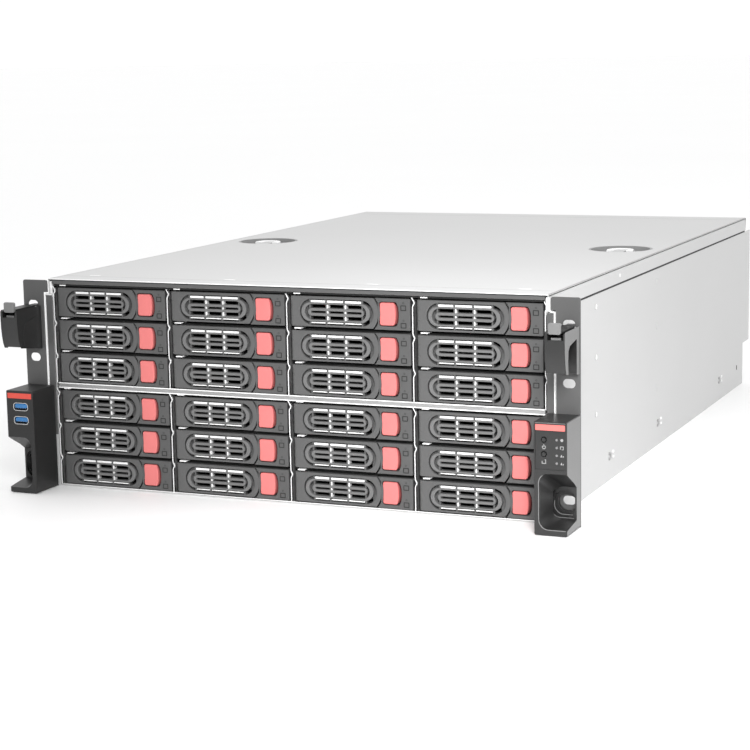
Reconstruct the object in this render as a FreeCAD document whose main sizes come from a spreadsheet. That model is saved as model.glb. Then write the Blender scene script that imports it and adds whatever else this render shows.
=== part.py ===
"""Rack storage enclosure, 4U high, with twenty-four front-loading 3.5 inch drive trays.

Millimetres, +Z up, front towards -Y. The sheet-metal body, cover, ears and fans are symmetric
about X = 0; the front modules, the rear panel and the trays' levers and buttons are not.
The origin is at the bottom centre of the whole object. Every piece is drawn in rack
coordinates, where Y = 0 is the front face of the rack ears and Z = 0 is the underside of the
floor, and is then moved by rack_plane_y as one Placement.
"""
import FreeCAD, Part
import os
import re
import Sketcher

COLUMNS = "abcd"
ROWS = range(1, 7)
ROWS_PER_CAGE = 3
FAN_PLACES = {"left": -1, "centre": 0, "right": 1}
FAN_BLADES = 7
SLOT_COUNT = 7
VENT_GROUPS = 2
VENT_SLOTS = 9
LEVER_SLOTS = 3
LAMP_COUNT = 4
POSTS_EACH_WAY = 3
SIDES = {"left": -1, "right": 1}

# Driving dimensions. Each becomes a cell of the sheet with an alias of the same name.
SIZES = {
    # cutting tools: how far one reaches past a face, and a length that passes through any piece
    "past": 1.0, "through": 40.0,
    # rack standard
    "rack_half": 241.3, "rack_slot_x": 232.55, "rack_slot_low": 20.3, "rack_slot_mid": 109.2,
    "rack_slot_top": 153.65, "rack_slot_r": 3.5, "rack_slot_run": 10.0,
    # whole chassis
    "rear_reach": 693.5, "body_depth": 665.0, "sheet": 1.0, "wall_half": 216.0,
    "wall_top": 160.7, "wing_low": 43.0, "lip_half": 215.3, "lip_top": 173.4, "flange_y": 2.0,
    "flange_half": 220.7, "flange_top": 161.4,
    # top cover
    "cover_half": 216.75, "cover_front": 0.45, "cover_rear": 669.0, "cover_top": 175.5,
    "cover_low": 162.2,
    "cup_x": 177.0, "cup_y": 333.0, "cup_r": 28.0, "cup_low": 170.4, "cup_wall": 1.2,
    "cup_hole_r": 28.6, "cup_rim": 3.0, "pad_r": 12.0, "pad_low": 173.0, "pad_top": 175.0,
    "pad_back": 3.8, "pad_stem_r": 3.6, "pad_stem_gap": 0.3, "pad_stem_drop": 4.0, "cup_gap": 0.2,
    # front beam under the cover
    "beam_half": 213.9, "beam_y": 0.7, "beam_depth": 15.0, "beam_low": 171.2, "beam_top": 174.3,
    # drive cages and bays
    "bay_pitch": 106.9, "row_pitch": 27.46, "cage_gap": 4.0, "top_row": 156.3, "cage_y": 3.3,
    "cage_rear": 176.0, "cage_sheet": 0.8, "bay_above": 13.73, "ledge_reach": 2.6, "ledge_drop": 13.1,
    "ledge_thick": 0.6, "ledge_y": 14.0,
    # tray
    "tray_y": 3.0, "face_half": 51.8, "face_up": 12.9, "bezel_deep": 16.0, "rail_half": 52.65,
    "rail_wall": 1.6, "rail_up": 0.2, "tray_low": 12.8, "tray_floor": 0.8, "tray_end": 165.0,
    "vent_left": 42.0, "vent_right": 18.5, "vent_up": 9.6,
    "pin_x": 47.6, "pin_y": 3.4, "pin_r": 1.0, "pin_bore_r": 1.06, "knuckle_r": 2.0, "knuckle_up": 3.7,
    "lever_deep": 6.6, "lever_up": 12.5, "lever_arc_x": 6.1, "lever_arc_r": 18.4, "barrel_r": 3.3,
    "lever_gap": 0.4, "knuckle_room_r": 2.4, "knuckle_room_up": 4.0, "knuckle_swing": 1.4,
    "slot_outer_from": 7.0, "slot_outer_to": 9.2, "slot_inner_from": 2.6, "slot_inner_to": 5.6,
    "slot_wide": 13.2, "slot_first": 33.0, "slot_pitch": 14.9,
    "button_from": 25.0, "button_to": 39.4, "button_up": 8.8, "button_front": 0.0, "button_deep": 7.0,
    "pocket_to": 41.2, "pocket_up": 9.2, "pocket_deep": 10.0,
    # backplane
    "board_half": 208.0, "board_gap": 0.4, "board_thick": 1.6, "board_margin": 4.0, "plug_wide": 43.0,
    "plug_tall": 8.4, "plug_front": 168.6, "board_slot_wide": 56.0, "board_slot_tall": 7.0,
    "board_slot_rise": 8.6,
    # fan wall
    "fan_wall_y": 206.0, "fan_wall_half": 214.2, "fan_wall_top": 171.0, "fan_pitch": 138.0,
    "fan_z": 86.0, "fan_frame": 60.0, "fan_gap": 0.4, "fan_deep": 25.0, "fan_bore_r": 57.5, "fan_hub_r": 20.0,
    "blade_tip_r": 56.3, "blade_thick": 1.6, "blade_tilt": 38.0, "blade_width": 22.0, "blade_root": 2.0,
    "strut": 5.0, "strut_root": 1.0, "mount_thick": 3.0, "rotor_front": 2.0, "rotor_back": 4.0, "brim": 14.0,
    # rear panel
    "rear_y": 663.6, "rear_half": 214.1, "rear_top": 173.4, "io_left": 42.0, "io_wide": 158.75,
    "io_low": 8.0, "io_tall": 44.45, "card_right": 31.0, "card_pitch": 20.32, "card_wide": 14.0,
    "card_low": 8.0, "card_tall": 104.0, "supply_seam": 115.0, "psu_left": 207.0, "psu_wide": 82.0,
    "psu_low": 6.0, "psu_tall": 146.0, "vent_slot_wide": 72.0, "vent_slot_tall": 5.0, "vent_slot_pitch": 10.0,
    "vent_x": 78.0, "vent_step": 86.0, "vent_low": 68.0, "cover_plate_thick": 0.9, "cover_plate_wide": 18.4,
    "cover_plate_above": 8.0, "cover_plate_below": 3.0, "cover_plate_tab": 11.0,
    # rack ears
    "ear_thick": 2.0, "ear_low": 0.2, "ear_top": 174.0, "ear_tab_x": 218.5, "ear_tab_low": 164.0,
    "ear_inner": 222.6, "ear_foot_x": 216.8, "ear_foot_top": 84.5,
    # front modules, below on each ear
    "module_inner": 215.6, "module_low": 0.5, "module_top": 86.1, "module_front": 33.3,
    "scoop_x": 219.0, "scoop_low": 4.7, "scoop_low_back": 8.0, "scoop_top": 47.2,
    "scoop_top_back": 33.1, "scoop_back": 9.5, "screw_room_r": 7.5,
    "shell": 2.0, "room_low": 50.4, "bar_low": 79.5, "bar_top": 84.1, "bar_inner": 216.9,
    "bar_outer": 239.9, "bar_deep": 0.6, "plate_low": 50.2, "plate_top": 78.6, "plate_deep": 0.6,
    "usb_x": 227.5, "usb_upper": 72.8, "usb_lower": 61.5, "usb_half_wide": 7.0, "usb_half_tall": 3.4,
    "usb_wall": 0.4, "usb_deep": 16.0, "usb_inset": 0.2, "usb_gap": 0.1, "tongue_half": 5.5,
    "tongue_thick": 1.8, "tongue_rise": 0.4, "tongue_inset": 1.0,
    "key_x": 223.5, "power_z": 72.6, "reset_z": 61.8, "key_r": 1.9, "key_hole_r": 2.2,
    "key_flange_r": 2.9, "key_flange_gap": 0.05, "key_flange_thick": 1.2, "key_proud": 0.3,
    "lamp_x": 233.3, "lamp_top_z": 72.8, "lamp_pitch": 5.85,
    "lamp_r": 1.0, "lamp_proud": 0.2,
    # rack latches, above on each ear
    "latch_inner": 225.1, "latch_outer": 241.0, "latch_low": 122.1, "latch_top": 152.0,
    "latch_front": 36.3, "grip_inner": 228.6, "grip_front": 28.4, "grip_back": 6.3, "grip_top": 142.1,
    "channel_in": 227.3, "channel_out": 238.8, "channel_floor": 146.6,
    "tab_in": 227.8, "tab_out": 238.3, "tab_top": 159.2, "tab_thick": 2.4, "arm_low": 151.6,
    "arm_thick": 1.8, "arm_back": 0.4, "hook_half": 3.0, "hook_reach": 7.6, "hook_thick": 1.6,
    "hook_drop": 1.2, "latch_pin_y": 3.6, "latch_pin_z": 152.0, "latch_pin_r": 0.75,
    "latch_pin_bore": 0.8, "boss_r": 1.7,
    # small hardware
    "stud_z": 20.5, "stud_r": 3.0, "stud_head": 1.4, "stud_front": 168.4, "stud_mid": 322.8,
    "stud_rear": 562.0, "post_r": 3.0, "post_tall": 6.5,
    "post_inset": 18.0, "post_across": 75.0, "post_along": 124.0,
}
SIZES["rack_plane_y"] = -(SIZES["rear_reach"] - SIZES["latch_front"]) / 2

doc = FreeCAD.newDocument("rack_storage_enclosure")
sheet = doc.addObject("Spreadsheet::Sheet", "dims")
for line, (alias, value) in enumerate(SIZES.items(), start=1):
    sheet.set(f"A{line}", alias)
    sheet.set(f"B{line}", str(value))
    sheet.setAlias(f"B{line}", alias)
doc.recompute()

subparts = []


# ---------------------------------------------------------------- building blocks

def cell(text):
    """An expression in which every word is an alias of the sheet."""
    return re.sub(r"[a-z][a-z_]*", r"dims.\g<0>", str(text))


def bind(thing, **expressions):
    """Bind properties to the sheet; x, y and z are the three parts of the Placement's base."""
    for name, text in expressions.items():
        path = f"Placement.Base.{name}" if name in ("x", "y", "z") else name
        thing.setExpression(path, cell(text))
    return thing


def block(x_span, y_span, z_span):
    """A box between two limits on each axis."""
    box = doc.addObject("Part::Box", "block")
    for axis, size, (low, high) in zip("xyz", ("Length", "Width", "Height"), (x_span, y_span, z_span)):
        bind(box, **{axis: low, size: f"({high}) - ({low})"})
    return box


def wide_block(half, y_span, z_span):
    """A box that reaches the same distance to each side of X = 0."""
    return block((f"-({half})", half), y_span, z_span)


AXIS_TURNS = {
    "z": FreeCAD.Rotation(),
    "y": FreeCAD.Rotation(FreeCAD.Vector(1, 0, 0), -90),
    "x": FreeCAD.Rotation(FreeCAD.Vector(0, 1, 0), 90),
}


def rod(axis, radius, start, length):
    """A cylinder of a radius from a start point (three expressions) along a positive axis."""
    cylinder = doc.addObject("Part::Cylinder", "rod")
    cylinder.Placement.Rotation = AXIS_TURNS[axis]
    x, y, z = start
    return bind(cylinder, Radius=radius, Height=length, x=x, y=y, z=z)


def fuse(*solids):
    joined = doc.addObject("Part::MultiFuse", "fuse")
    joined.Shapes = list(solids)
    joined.Refine = True
    return joined


def cut(base, *tools):
    rest = doc.addObject("Part::Cut", "cut")
    rest.Base = base
    rest.Tool = tools[0] if len(tools) == 1 else fuse(*tools)
    rest.Refine = True
    return rest


def common(first, second):
    both = doc.addObject("Part::Common", "common")
    both.Base = first
    both.Tool = second
    return both


def mirror(solid):
    """The same piece on the other side of X = 0."""
    other = doc.addObject("Part::Mirroring", "mirrored")
    other.Source = solid
    other.Normal = FreeCAD.Vector(1, 0, 0)
    return other


PAD_PLANES = {"XZ": ("XZ_Plane", True, -1), "YZ": ("YZ_Plane", False, 1), "XY": ("XY_Plane", False, 1)}


def plate(name, plane, corners, start, thickness):
    """A PartDesign body: a closed outline of straight edges, padded along its plane's axis."""
    role, reverse, sense = PAD_PLANES[plane]
    body = doc.addObject("PartDesign::Body", name)
    sketch = body.newObject("Sketcher::SketchObject", f"{name}_outline")
    plane_feature = next(item for item in body.Origin.OriginFeatures if item.Role == role)
    sketch.AttachmentSupport = [(plane_feature, "")]
    sketch.MapMode = "FlatFace"
    sketch.setExpression("AttachmentOffset.Base.z", cell(f"{sense} * ({start})"))
    count = len(corners)
    rough = [FreeCAD.Vector(10, 0, 0)]
    turn = FreeCAD.Rotation(FreeCAD.Vector(0, 0, 1), 360 / count)
    for _ in range(count - 1):
        rough.append(turn.multVec(rough[-1]))
    for here, there in zip(rough, rough[1:] + rough[:1]):
        sketch.addGeometry(Part.LineSegment(here, there))
    for edge in range(count):
        sketch.addConstraint(Sketcher.Constraint("Coincident", edge, 2, (edge + 1) % count, 1))
    for edge, (across, along) in enumerate(corners):
        for kind, text, value in (("DistanceX", across, rough[edge].x), ("DistanceY", along, rough[edge].y)):
            index = sketch.addConstraint(Sketcher.Constraint(kind, -1, 1, edge, 1, value))
            sketch.setExpression(f"Constraints[{index}]", cell(text))
    pad = body.newObject("PartDesign::Pad", f"{name}_pad")
    pad.Profile = sketch
    pad.Reversed = reverse
    pad.setExpression("Length", cell(thickness))
    return body


def subpart(name, *solids, **place):
    """A finished sub-part: one compound of its solids, named and placed in the row's frame."""
    group = doc.addObject("Part::Compound", name)
    group.Label = name
    group.Links = list(solids)
    place["y"] = f"rack_plane_y + ({place.get('y', 0)})"
    bind(group, **place)
    subparts.append(group)
    return group


# ---------------------------------------------------------------- sheet-metal body

def base_pan():
    """Floor and both side walls, folded from one sheet, with lips, front flanges and rear wings."""
    floor = wide_block("wall_half", ("flange_y", "body_depth"), (0, "sheet"))
    wall = plate("side_wall", "YZ", [
        ("flange_y", "0"), ("body_depth", "0"), ("body_depth", "wing_low"), ("rear_reach", "wing_low"),
        ("rear_reach", "wall_top"), ("flange_y", "wall_top")], "wall_half - sheet", "sheet")
    ledge = block(("lip_half - sheet", "wall_half"), ("flange_y", "body_depth"),
                  ("wall_top - sheet", "wall_top"))
    lip = block(("lip_half - sheet", "lip_half"), ("flange_y", "body_depth"), ("wall_top - sheet", "lip_top"))
    flange = block(("wall_half - sheet", "flange_half"), ("flange_y", "flange_y + sheet"),
                   ("0", "flange_top"))
    side = fuse(wall, ledge, lip, flange)
    subpart("base_pan", fuse(floor, side, mirror(side)))


def rear_panel():
    """Rear plate with the board's window, card slots and air slots, and the power supply's own plate."""
    y_span = ("rear_y", "rear_y + sheet")
    y_cut = ("rear_y - sheet", "rear_y + 2 * sheet")
    panel = block(("-supply_seam", "rear_half"), y_span, ("sheet", "rear_top"))
    supply_plate = cut(block(("-rear_half", "-supply_seam"), y_span, ("sheet", "rear_top")),
                       block(("-psu_left", "psu_wide - psu_left"), y_cut, ("psu_low", "psu_low + psu_tall")))
    holes = [block(("io_left", "io_left + io_wide"), y_cut, ("io_low", "io_low + io_tall"))]
    for card in range(SLOT_COUNT):
        right = f"card_right - {card} * card_pitch"
        holes.append(block((f"{right} - card_wide", right), y_cut, ("card_low", "card_low + card_tall")))
    for group in range(VENT_GROUPS):
        middle = f"vent_x + {group} * vent_step"
        for slot in range(VENT_SLOTS):
            low = f"vent_low + {slot} * vent_slot_pitch"
            holes.append(block((f"{middle} - vent_slot_wide / 2", f"{middle} + vent_slot_wide / 2"),
                               y_cut, (low, f"{low} + vent_slot_tall")))
    subpart("rear_panel", cut(panel, *holes), supply_plate)


def slot_covers():
    """One bent blanking plate behind each card slot."""
    plates = []
    for card in range(SLOT_COUNT):
        middle = f"card_right - card_wide / 2 - {card} * card_pitch"
        x_span = (f"{middle} - cover_plate_wide / 2", f"{middle} + cover_plate_wide / 2")
        top = "card_low + card_tall + cover_plate_above"
        blade = block(x_span, ("rear_y - cover_plate_thick", "rear_y"), ("card_low - cover_plate_below", top))
        tab = block(x_span, ("rear_y - cover_plate_tab", "rear_y"), (f"{top} - cover_plate_thick", top))
        plates.append(fuse(blade, tab))
    subpart("slot_covers", *plates)


def top_cover():
    """Flat lid with a round hole for each grip cup, and a flange that hangs along each side."""
    lid = wide_block("cover_half", ("cover_front", "cover_rear"), ("cover_top - sheet", "cover_top"))
    flange = block(("cover_half - sheet", "cover_half"), ("cover_front", "cover_rear"),
                   ("cover_low", "cover_top - sheet"))
    hole = rod("z", "cup_hole_r", ("cup_x", "cup_y", "cup_low"), "through")
    subpart("top_cover", cut(lid, hole, mirror(hole)), flange, mirror(flange))


def cover_cups():
    """Round finger cups let into the cover, each with a bore for its latch pad's stem."""
    outer = rod("z", "cup_r", ("cup_x", "cup_y", "cup_low"), "cover_top - cup_low - cup_gap")
    rim = rod("z", "cup_r + cup_rim", ("cup_x", "cup_y", "cover_top - sheet - cup_wall - cup_gap"),
              "cup_wall")
    hollow = rod("z", "cup_r - cup_wall", ("cup_x", "cup_y", "cup_low + cup_wall"), "through")
    bore = rod("z", "pad_stem_r + pad_stem_gap", ("cup_x", "cup_y", "cup_low - past"), "through")
    cup = cut(fuse(outer, rim), hollow, bore)
    subpart("cover_grip_cups", cup, mirror(cup))


def cover_latch(side):
    """Half-moon pad on a round stem, pressed down to free the cover."""
    x = f"{SIDES[side]} * cup_x"
    disc = rod("z", "pad_r", (x, "cup_y", "pad_low"), "pad_top - pad_low")
    back = block((f"{x} - pad_r", f"{x} + pad_r"), ("cup_y + pad_back", "cup_y + pad_r"),
                 ("pad_low - past", "pad_top + past"))
    stem = rod("z", "pad_stem_r", (x, "cup_y", "cup_low - pad_stem_drop"),
               "pad_low - cup_low + pad_stem_drop")
    subpart(f"cover_latch_{side}", fuse(cut(disc, back), stem))


def front_beam():
    """Black beam across the front, under the edge of the cover."""
    beam = wide_block("beam_half", ("beam_y", "beam_y + beam_depth"), ("beam_low", "beam_top"))
    subpart("front_beam", beam)


# ---------------------------------------------------------------- drive cages

def row_centre(row):
    """Height of a row of trays, counted from 1 at the top; the lower cage sits cage_gap lower."""
    gap = "cage_gap" if row > ROWS_PER_CAGE else "0"
    return f"top_row - {row - 1} * row_pitch - {gap}"


def column_centre(column):
    """Sideways place of a column of trays."""
    return f"{COLUMNS.index(column) - 1.5} * bay_pitch"


def drive_cage(name, first_row):
    """Five upright sheets with tray ledges, a top sheet, and a bottom sheet under the last row."""
    rows = range(first_row, first_row + ROWS_PER_CAGE)
    top = f"{row_centre(rows[0])} + bay_above"
    low = f"{row_centre(rows[-1])} - ledge_drop"
    deep = ("cage_y", "cage_rear")
    edge = "2 * bay_pitch + cage_sheet / 2"
    pieces = [
        wide_block(edge, deep, (top, f"{top} + cage_sheet")),
        wide_block(edge, deep, (f"{low} - cage_sheet", low)),
    ]
    for upright in range(5):
        x = f"{upright - 2} * bay_pitch"
        solids = [block((f"{x} - cage_sheet / 2", f"{x} + cage_sheet / 2"), deep, (low, top))]
        left = "0" if upright == 0 else "ledge_reach"
        right = "0" if upright == 4 else "ledge_reach"
        for row in rows[:-1]:
            ledge_top = f"{row_centre(row)} - ledge_drop"
            solids.append(block((f"{x} - cage_sheet / 2 - {left}", f"{x} + cage_sheet / 2 + {right}"),
                                ("ledge_y", "cage_rear"), (f"{ledge_top} - ledge_thick", ledge_top)))
        pieces.append(fuse(*solids))
    subpart(name, *pieces)


def backplane():
    """One circuit board behind each cage, with air slots, and one drive plug for each bay."""
    pieces = []
    for first_row in (1, 1 + ROWS_PER_CAGE):
        rows = range(first_row, first_row + ROWS_PER_CAGE)
        z_span = (f"{row_centre(rows[-1])} - bay_above + board_margin",
                  f"{row_centre(rows[0])} + bay_above - board_margin")
        front = "cage_rear + board_gap"
        board = wide_block("board_half", (front, f"{front} + board_thick"), z_span)
        slots = []
        for row in rows:
            for column in COLUMNS:
                x, z = column_centre(column), row_centre(row)
                slots.append(block((f"{x} - board_slot_wide / 2", f"{x} + board_slot_wide / 2"),
                                   ("cage_rear", "cage_rear + through"),
                                   (f"{z} + board_slot_rise - board_slot_tall / 2",
                                    f"{z} + board_slot_rise + board_slot_tall / 2")))
                pieces.append(block((f"{x} - plug_wide / 2", f"{x} + plug_wide / 2"),
                                    ("plug_front", front),
                                    (f"{z} - plug_tall", z)))
        pieces.append(cut(board, *slots))
    subpart("backplane", *pieces)


# ---------------------------------------------------------------- drive tray

def tray_carrier():
    """Tray frame: a bezel that holds the lever, two side rails and a floor plate between them."""
    back = wide_block("face_half", ("lever_deep + lever_gap", "bezel_deep"), ("-face_up", "face_up"))
    cheek = block(("lever_arc_x", "face_half"), ("0", "lever_deep + lever_gap"), ("-face_up", "face_up"))
    sweep = rod("y", "lever_arc_r + lever_gap", ("lever_arc_x", "-past", "0"),
                "lever_deep + lever_gap + past")
    knuckle = rod("z", "knuckle_r", ("-pin_x", "pin_y", "-knuckle_up"), "2 * knuckle_up")
    stem = block(("-pin_x - knuckle_r", "-pin_x + knuckle_r"), ("pin_y", "bezel_deep"),
                 ("-knuckle_up", "knuckle_up"))
    window = block(("-vent_left", "vent_right"), ("0", "bezel_deep + past"), ("-vent_up", "vent_up"))
    pocket = block(("button_from - lever_gap", "pocket_to"), ("-past", "pocket_deep"),
                   ("-pocket_up", "pocket_up"))
    bore = rod("z", "pin_bore_r", ("-pin_x", "pin_y", "-through / 2"), "through")
    front = cut(fuse(back, cut(cheek, sweep), knuckle, stem), window, pocket, bore)
    rail = block(("rail_half - rail_wall", "rail_half"), ("bezel_deep", "tray_end"), ("-tray_low", "rail_up"))
    floor = wide_block("rail_half - rail_wall", ("bezel_deep", "tray_end"),
                       ("-tray_low", "tray_floor - tray_low"))
    return front, rail, mirror(rail), floor


def tray_pin():
    """Hinge pin of the lever."""
    return rod("z", "pin_r", ("-pin_x", "pin_y", "lever_gap - lever_up"), "2 * (lever_up - lever_gap)")


def tray_lever():
    """Pull lever with a round barrel on the pin, a curved free end and rows of air slots."""
    span = ("0", "lever_deep")
    straight = block(("-pin_x", "lever_arc_x"), span, ("-lever_up", "lever_up"))
    bow = common(rod("y", "lever_arc_r", ("lever_arc_x", "0", "0"), "lever_deep"),
                 block(("lever_arc_x - past", "lever_arc_x + lever_arc_r"), span, ("-lever_up", "lever_up")))
    barrel = rod("z", "barrel_r", ("-pin_x", "barrel_r", "-lever_up"), "2 * lever_up")
    room = ("-knuckle_room_up", "knuckle_room_up")
    back = "lever_deep + past"
    tools = [
        rod("z", "pin_bore_r", ("-pin_x", "pin_y", "-through / 2"), "through"),
        rod("z", "knuckle_room_r", ("-pin_x", "pin_y", "-knuckle_room_up"), "2 * knuckle_room_up"),
        block(("-pin_x - barrel_r - past", "-pin_x + knuckle_room_r"), ("pin_y", back), room),
        block(("-pin_x - barrel_r - past", "-pin_x"), ("pin_y - knuckle_swing", back), room),
    ]
    for place in range(LEVER_SLOTS):
        left = f"{place} * slot_pitch - slot_first"
        for inner, outer in (("slot_outer_from", "slot_outer_to"), ("slot_inner_from", "slot_inner_to")):
            for low, high in ((inner, outer), (f"-{outer}", f"-{inner}")):
                tools.append(block((left, f"{left} + slot_wide"), ("-past", back), (low, high)))
    return cut(fuse(straight, bow, barrel), *tools)


def tray_button():
    """Release button beside the lever's free end."""
    return block(("button_from", "button_to"), ("button_front", "button_deep"), ("-button_up", "button_up"))


def drive_trays():
    """Twenty-four trays. Those of the top row have their lever and button as separate sub-parts."""
    carrier, pin, lever, button = tray_carrier(), tray_pin(), tray_lever(), tray_button()
    for column in COLUMNS:
        for row in ROWS:
            place = {"x": column_centre(column), "y": "tray_y", "z": row_centre(row)}
            if row == 1:
                subpart(f"tray_{column}{row}", *carrier, pin, **place)
                subpart(f"tray_lever_{column}{row}", lever, **place)
                subpart(f"tray_button_{column}{row}", button, **place)
            else:
                subpart(f"tray_{column}{row}", *carrier, pin, lever, button, **place)


# ---------------------------------------------------------------- fans

def fan_wall():
    """Cross wall behind the backplanes with one square opening for each fan."""
    wall = wide_block("fan_wall_half", ("fan_wall_y", "fan_wall_y + sheet"), ("sheet", "fan_wall_top"))
    brim = wide_block("fan_wall_half", ("fan_wall_y", "fan_wall_y + brim"),
                      ("fan_wall_top - sheet", "fan_wall_top"))
    reach = "fan_frame + fan_gap"
    holes = [block((f"{place} * fan_pitch - ({reach})", f"{place} * fan_pitch + {reach}"),
                   ("fan_wall_y - past", "fan_wall_y + sheet + past"),
                   (f"fan_z - ({reach})", f"fan_z + {reach}"))
             for place in FAN_PLACES.values()]
    subpart("fan_wall", cut(fuse(wall, brim), *holes))


def fan_housings():
    """Square fan frames that sit in the wall's openings, each with a motor mount on four struts."""
    frames = []
    front = "fan_wall_y - sheet"
    for place in FAN_PLACES.values():
        x = f"{place} * fan_pitch"
        sides = (f"{x} - fan_frame", f"{x} + fan_frame")
        upright = ("fan_z - fan_frame", "fan_z + fan_frame")
        frame = cut(block(sides, (front, f"{front} + fan_deep"), upright),
                    rod("y", "fan_bore_r", (x, f"{front} - past", "fan_z"), "through"))
        back = (f"{front} + fan_deep - mount_thick", f"{front} + fan_deep")
        mount = rod("y", "fan_hub_r", (x, back[0], "fan_z"), "mount_thick")
        level = block((f"{x} - fan_bore_r - strut_root", f"{x} + fan_bore_r + strut_root"), back,
                      ("fan_z - strut / 2", "fan_z + strut / 2"))
        plumb = block((f"{x} - strut / 2", f"{x} + strut / 2"), back,
                      ("fan_z - fan_bore_r - strut_root", "fan_z + fan_bore_r + strut_root"))
        frames.append(fuse(frame, mount, level, plumb))
    subpart("fan_housings", *frames)


def fan_rotor(side):
    """Hub with pitched blades, turning about an axis along Y."""
    x = f"{FAN_PLACES[side]} * fan_pitch"
    hub = rod("y", "fan_hub_r", (x, "fan_wall_y - sheet + rotor_front", "fan_z"),
              "fan_deep - rotor_front - rotor_back")
    doc.recompute()
    hub_shape = hub.Shape
    hub_centre = hub_shape.BoundBox.Center
    root = sheet.get("fan_hub_r") - sheet.get("blade_root")
    reach = sheet.get("blade_tip_r") - root
    width, thick = sheet.get("blade_width"), sheet.get("blade_thick")
    blade = Part.makeBox(thick, width, reach, FreeCAD.Vector(-thick / 2, -width / 2, 0))
    blade.rotate(FreeCAD.Vector(), FreeCAD.Vector(0, 0, 1), sheet.get("blade_tilt"))
    blade.translate(hub_centre + FreeCAD.Vector(0, 0, root))
    blades = []
    for number in range(FAN_BLADES):
        turned = blade.copy()
        turned.rotate(hub_centre, FreeCAD.Vector(0, 1, 0), 360 * number / FAN_BLADES)
        blades.append(turned)
    rotor = doc.addObject("Part::Feature", f"rotor_{side}")
    rotor.Shape = hub_shape.fuse(blades).removeSplitter()
    subpart(f"fan_rotor_{side}", rotor)


# ---------------------------------------------------------------- rack ears and modules

def rack_slot(z):
    """Tool for one rack slot: a flat box with a half-round at each end."""
    y = "-through / 2"
    half_run = "rack_slot_run / 2 - rack_slot_r"
    return fuse(
        block((f"rack_slot_x - ({half_run})", f"rack_slot_x + {half_run}"), (y, "through / 2"),
              (f"{z} - rack_slot_r", f"{z} + rack_slot_r")),
        rod("y", "rack_slot_r", (f"rack_slot_x - ({half_run})", y, z), "through"),
        rod("y", "rack_slot_r", (f"rack_slot_x + {half_run}", y, z), "through"))


def rack_ears():
    """Steel ears with three rack slots each; the foot behind the module meets the chassis flange."""
    blank = plate("ear_blank", "XZ", [
        ("ear_foot_x", "ear_low"), ("rack_half", "ear_low"), ("rack_half", "ear_top"),
        ("ear_tab_x", "ear_top"), ("ear_tab_x", "ear_tab_low"), ("ear_inner", "ear_tab_low"),
        ("ear_inner", "ear_foot_top"), ("ear_foot_x", "ear_foot_top")], "0", "ear_thick")
    ear = cut(blank, rack_slot("rack_slot_low"), rack_slot("rack_slot_mid"), rack_slot("rack_slot_top"))
    subpart("ear_right", ear)
    subpart("ear_left", mirror(ear))


def module_shell():
    """Plastic box on the ear with a scooped lower half that leaves the rack screw free."""
    shell_box = block(("module_inner", "rack_half"), ("-module_front", "0"), ("module_low", "module_top"))
    scoop = plate("scoop", "YZ", [
        ("-module_front - past", "scoop_low"), ("-scoop_back", "scoop_low_back"),
        ("-scoop_back", "scoop_top_back"), ("-module_front - past", "scoop_top")],
        "scoop_x", "rack_half - scoop_x + past")
    screw_room = rod("y", "screw_room_r", ("rack_slot_x", "-module_front", "rack_slot_low"),
                     "module_front + past")
    room = block(("module_inner + shell", "rack_half - shell"), ("shell - module_front", "past"),
                 ("room_low + shell", "module_top - shell"))
    bar_seat = block(("bar_inner", "bar_outer"), ("-module_front - past", "bar_deep - module_front"),
                     ("bar_low", "bar_top"))
    return cut(shell_box, scoop, screw_room, room, bar_seat)


def usb_hole(z):
    """Opening in the module's front for one port."""
    return block(("usb_x - usb_half_wide - usb_gap", "usb_x + usb_half_wide + usb_gap"),
                 ("-module_front - past", "0"),
                 (f"{z} - usb_half_tall - usb_gap", f"{z} + usb_half_tall + usb_gap"))


def usb_port(z):
    """Metal sleeve, open at the front, with a flat contact tongue on its back wall."""
    front = "usb_inset - module_front"
    sleeve = cut(block(("usb_x - usb_half_wide", "usb_x + usb_half_wide"), (front, f"{front} + usb_deep"),
                       (f"{z} - usb_half_tall", f"{z} + usb_half_tall")),
                 block(("usb_x - usb_half_wide + usb_wall", "usb_x + usb_half_wide - usb_wall"),
                       (f"{front} - past", f"{front} + usb_deep - tongue_thick / 2"),
                       (f"{z} - usb_half_tall + usb_wall", f"{z} + usb_half_tall - usb_wall")))
    tongue = block(("usb_x - tongue_half", "usb_x + tongue_half"),
                   (f"{front} + tongue_inset", f"{front} + usb_deep"),
                   (f"{z} + tongue_rise", f"{z} + tongue_rise + tongue_thick"))
    return fuse(sleeve, tongue)


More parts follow.
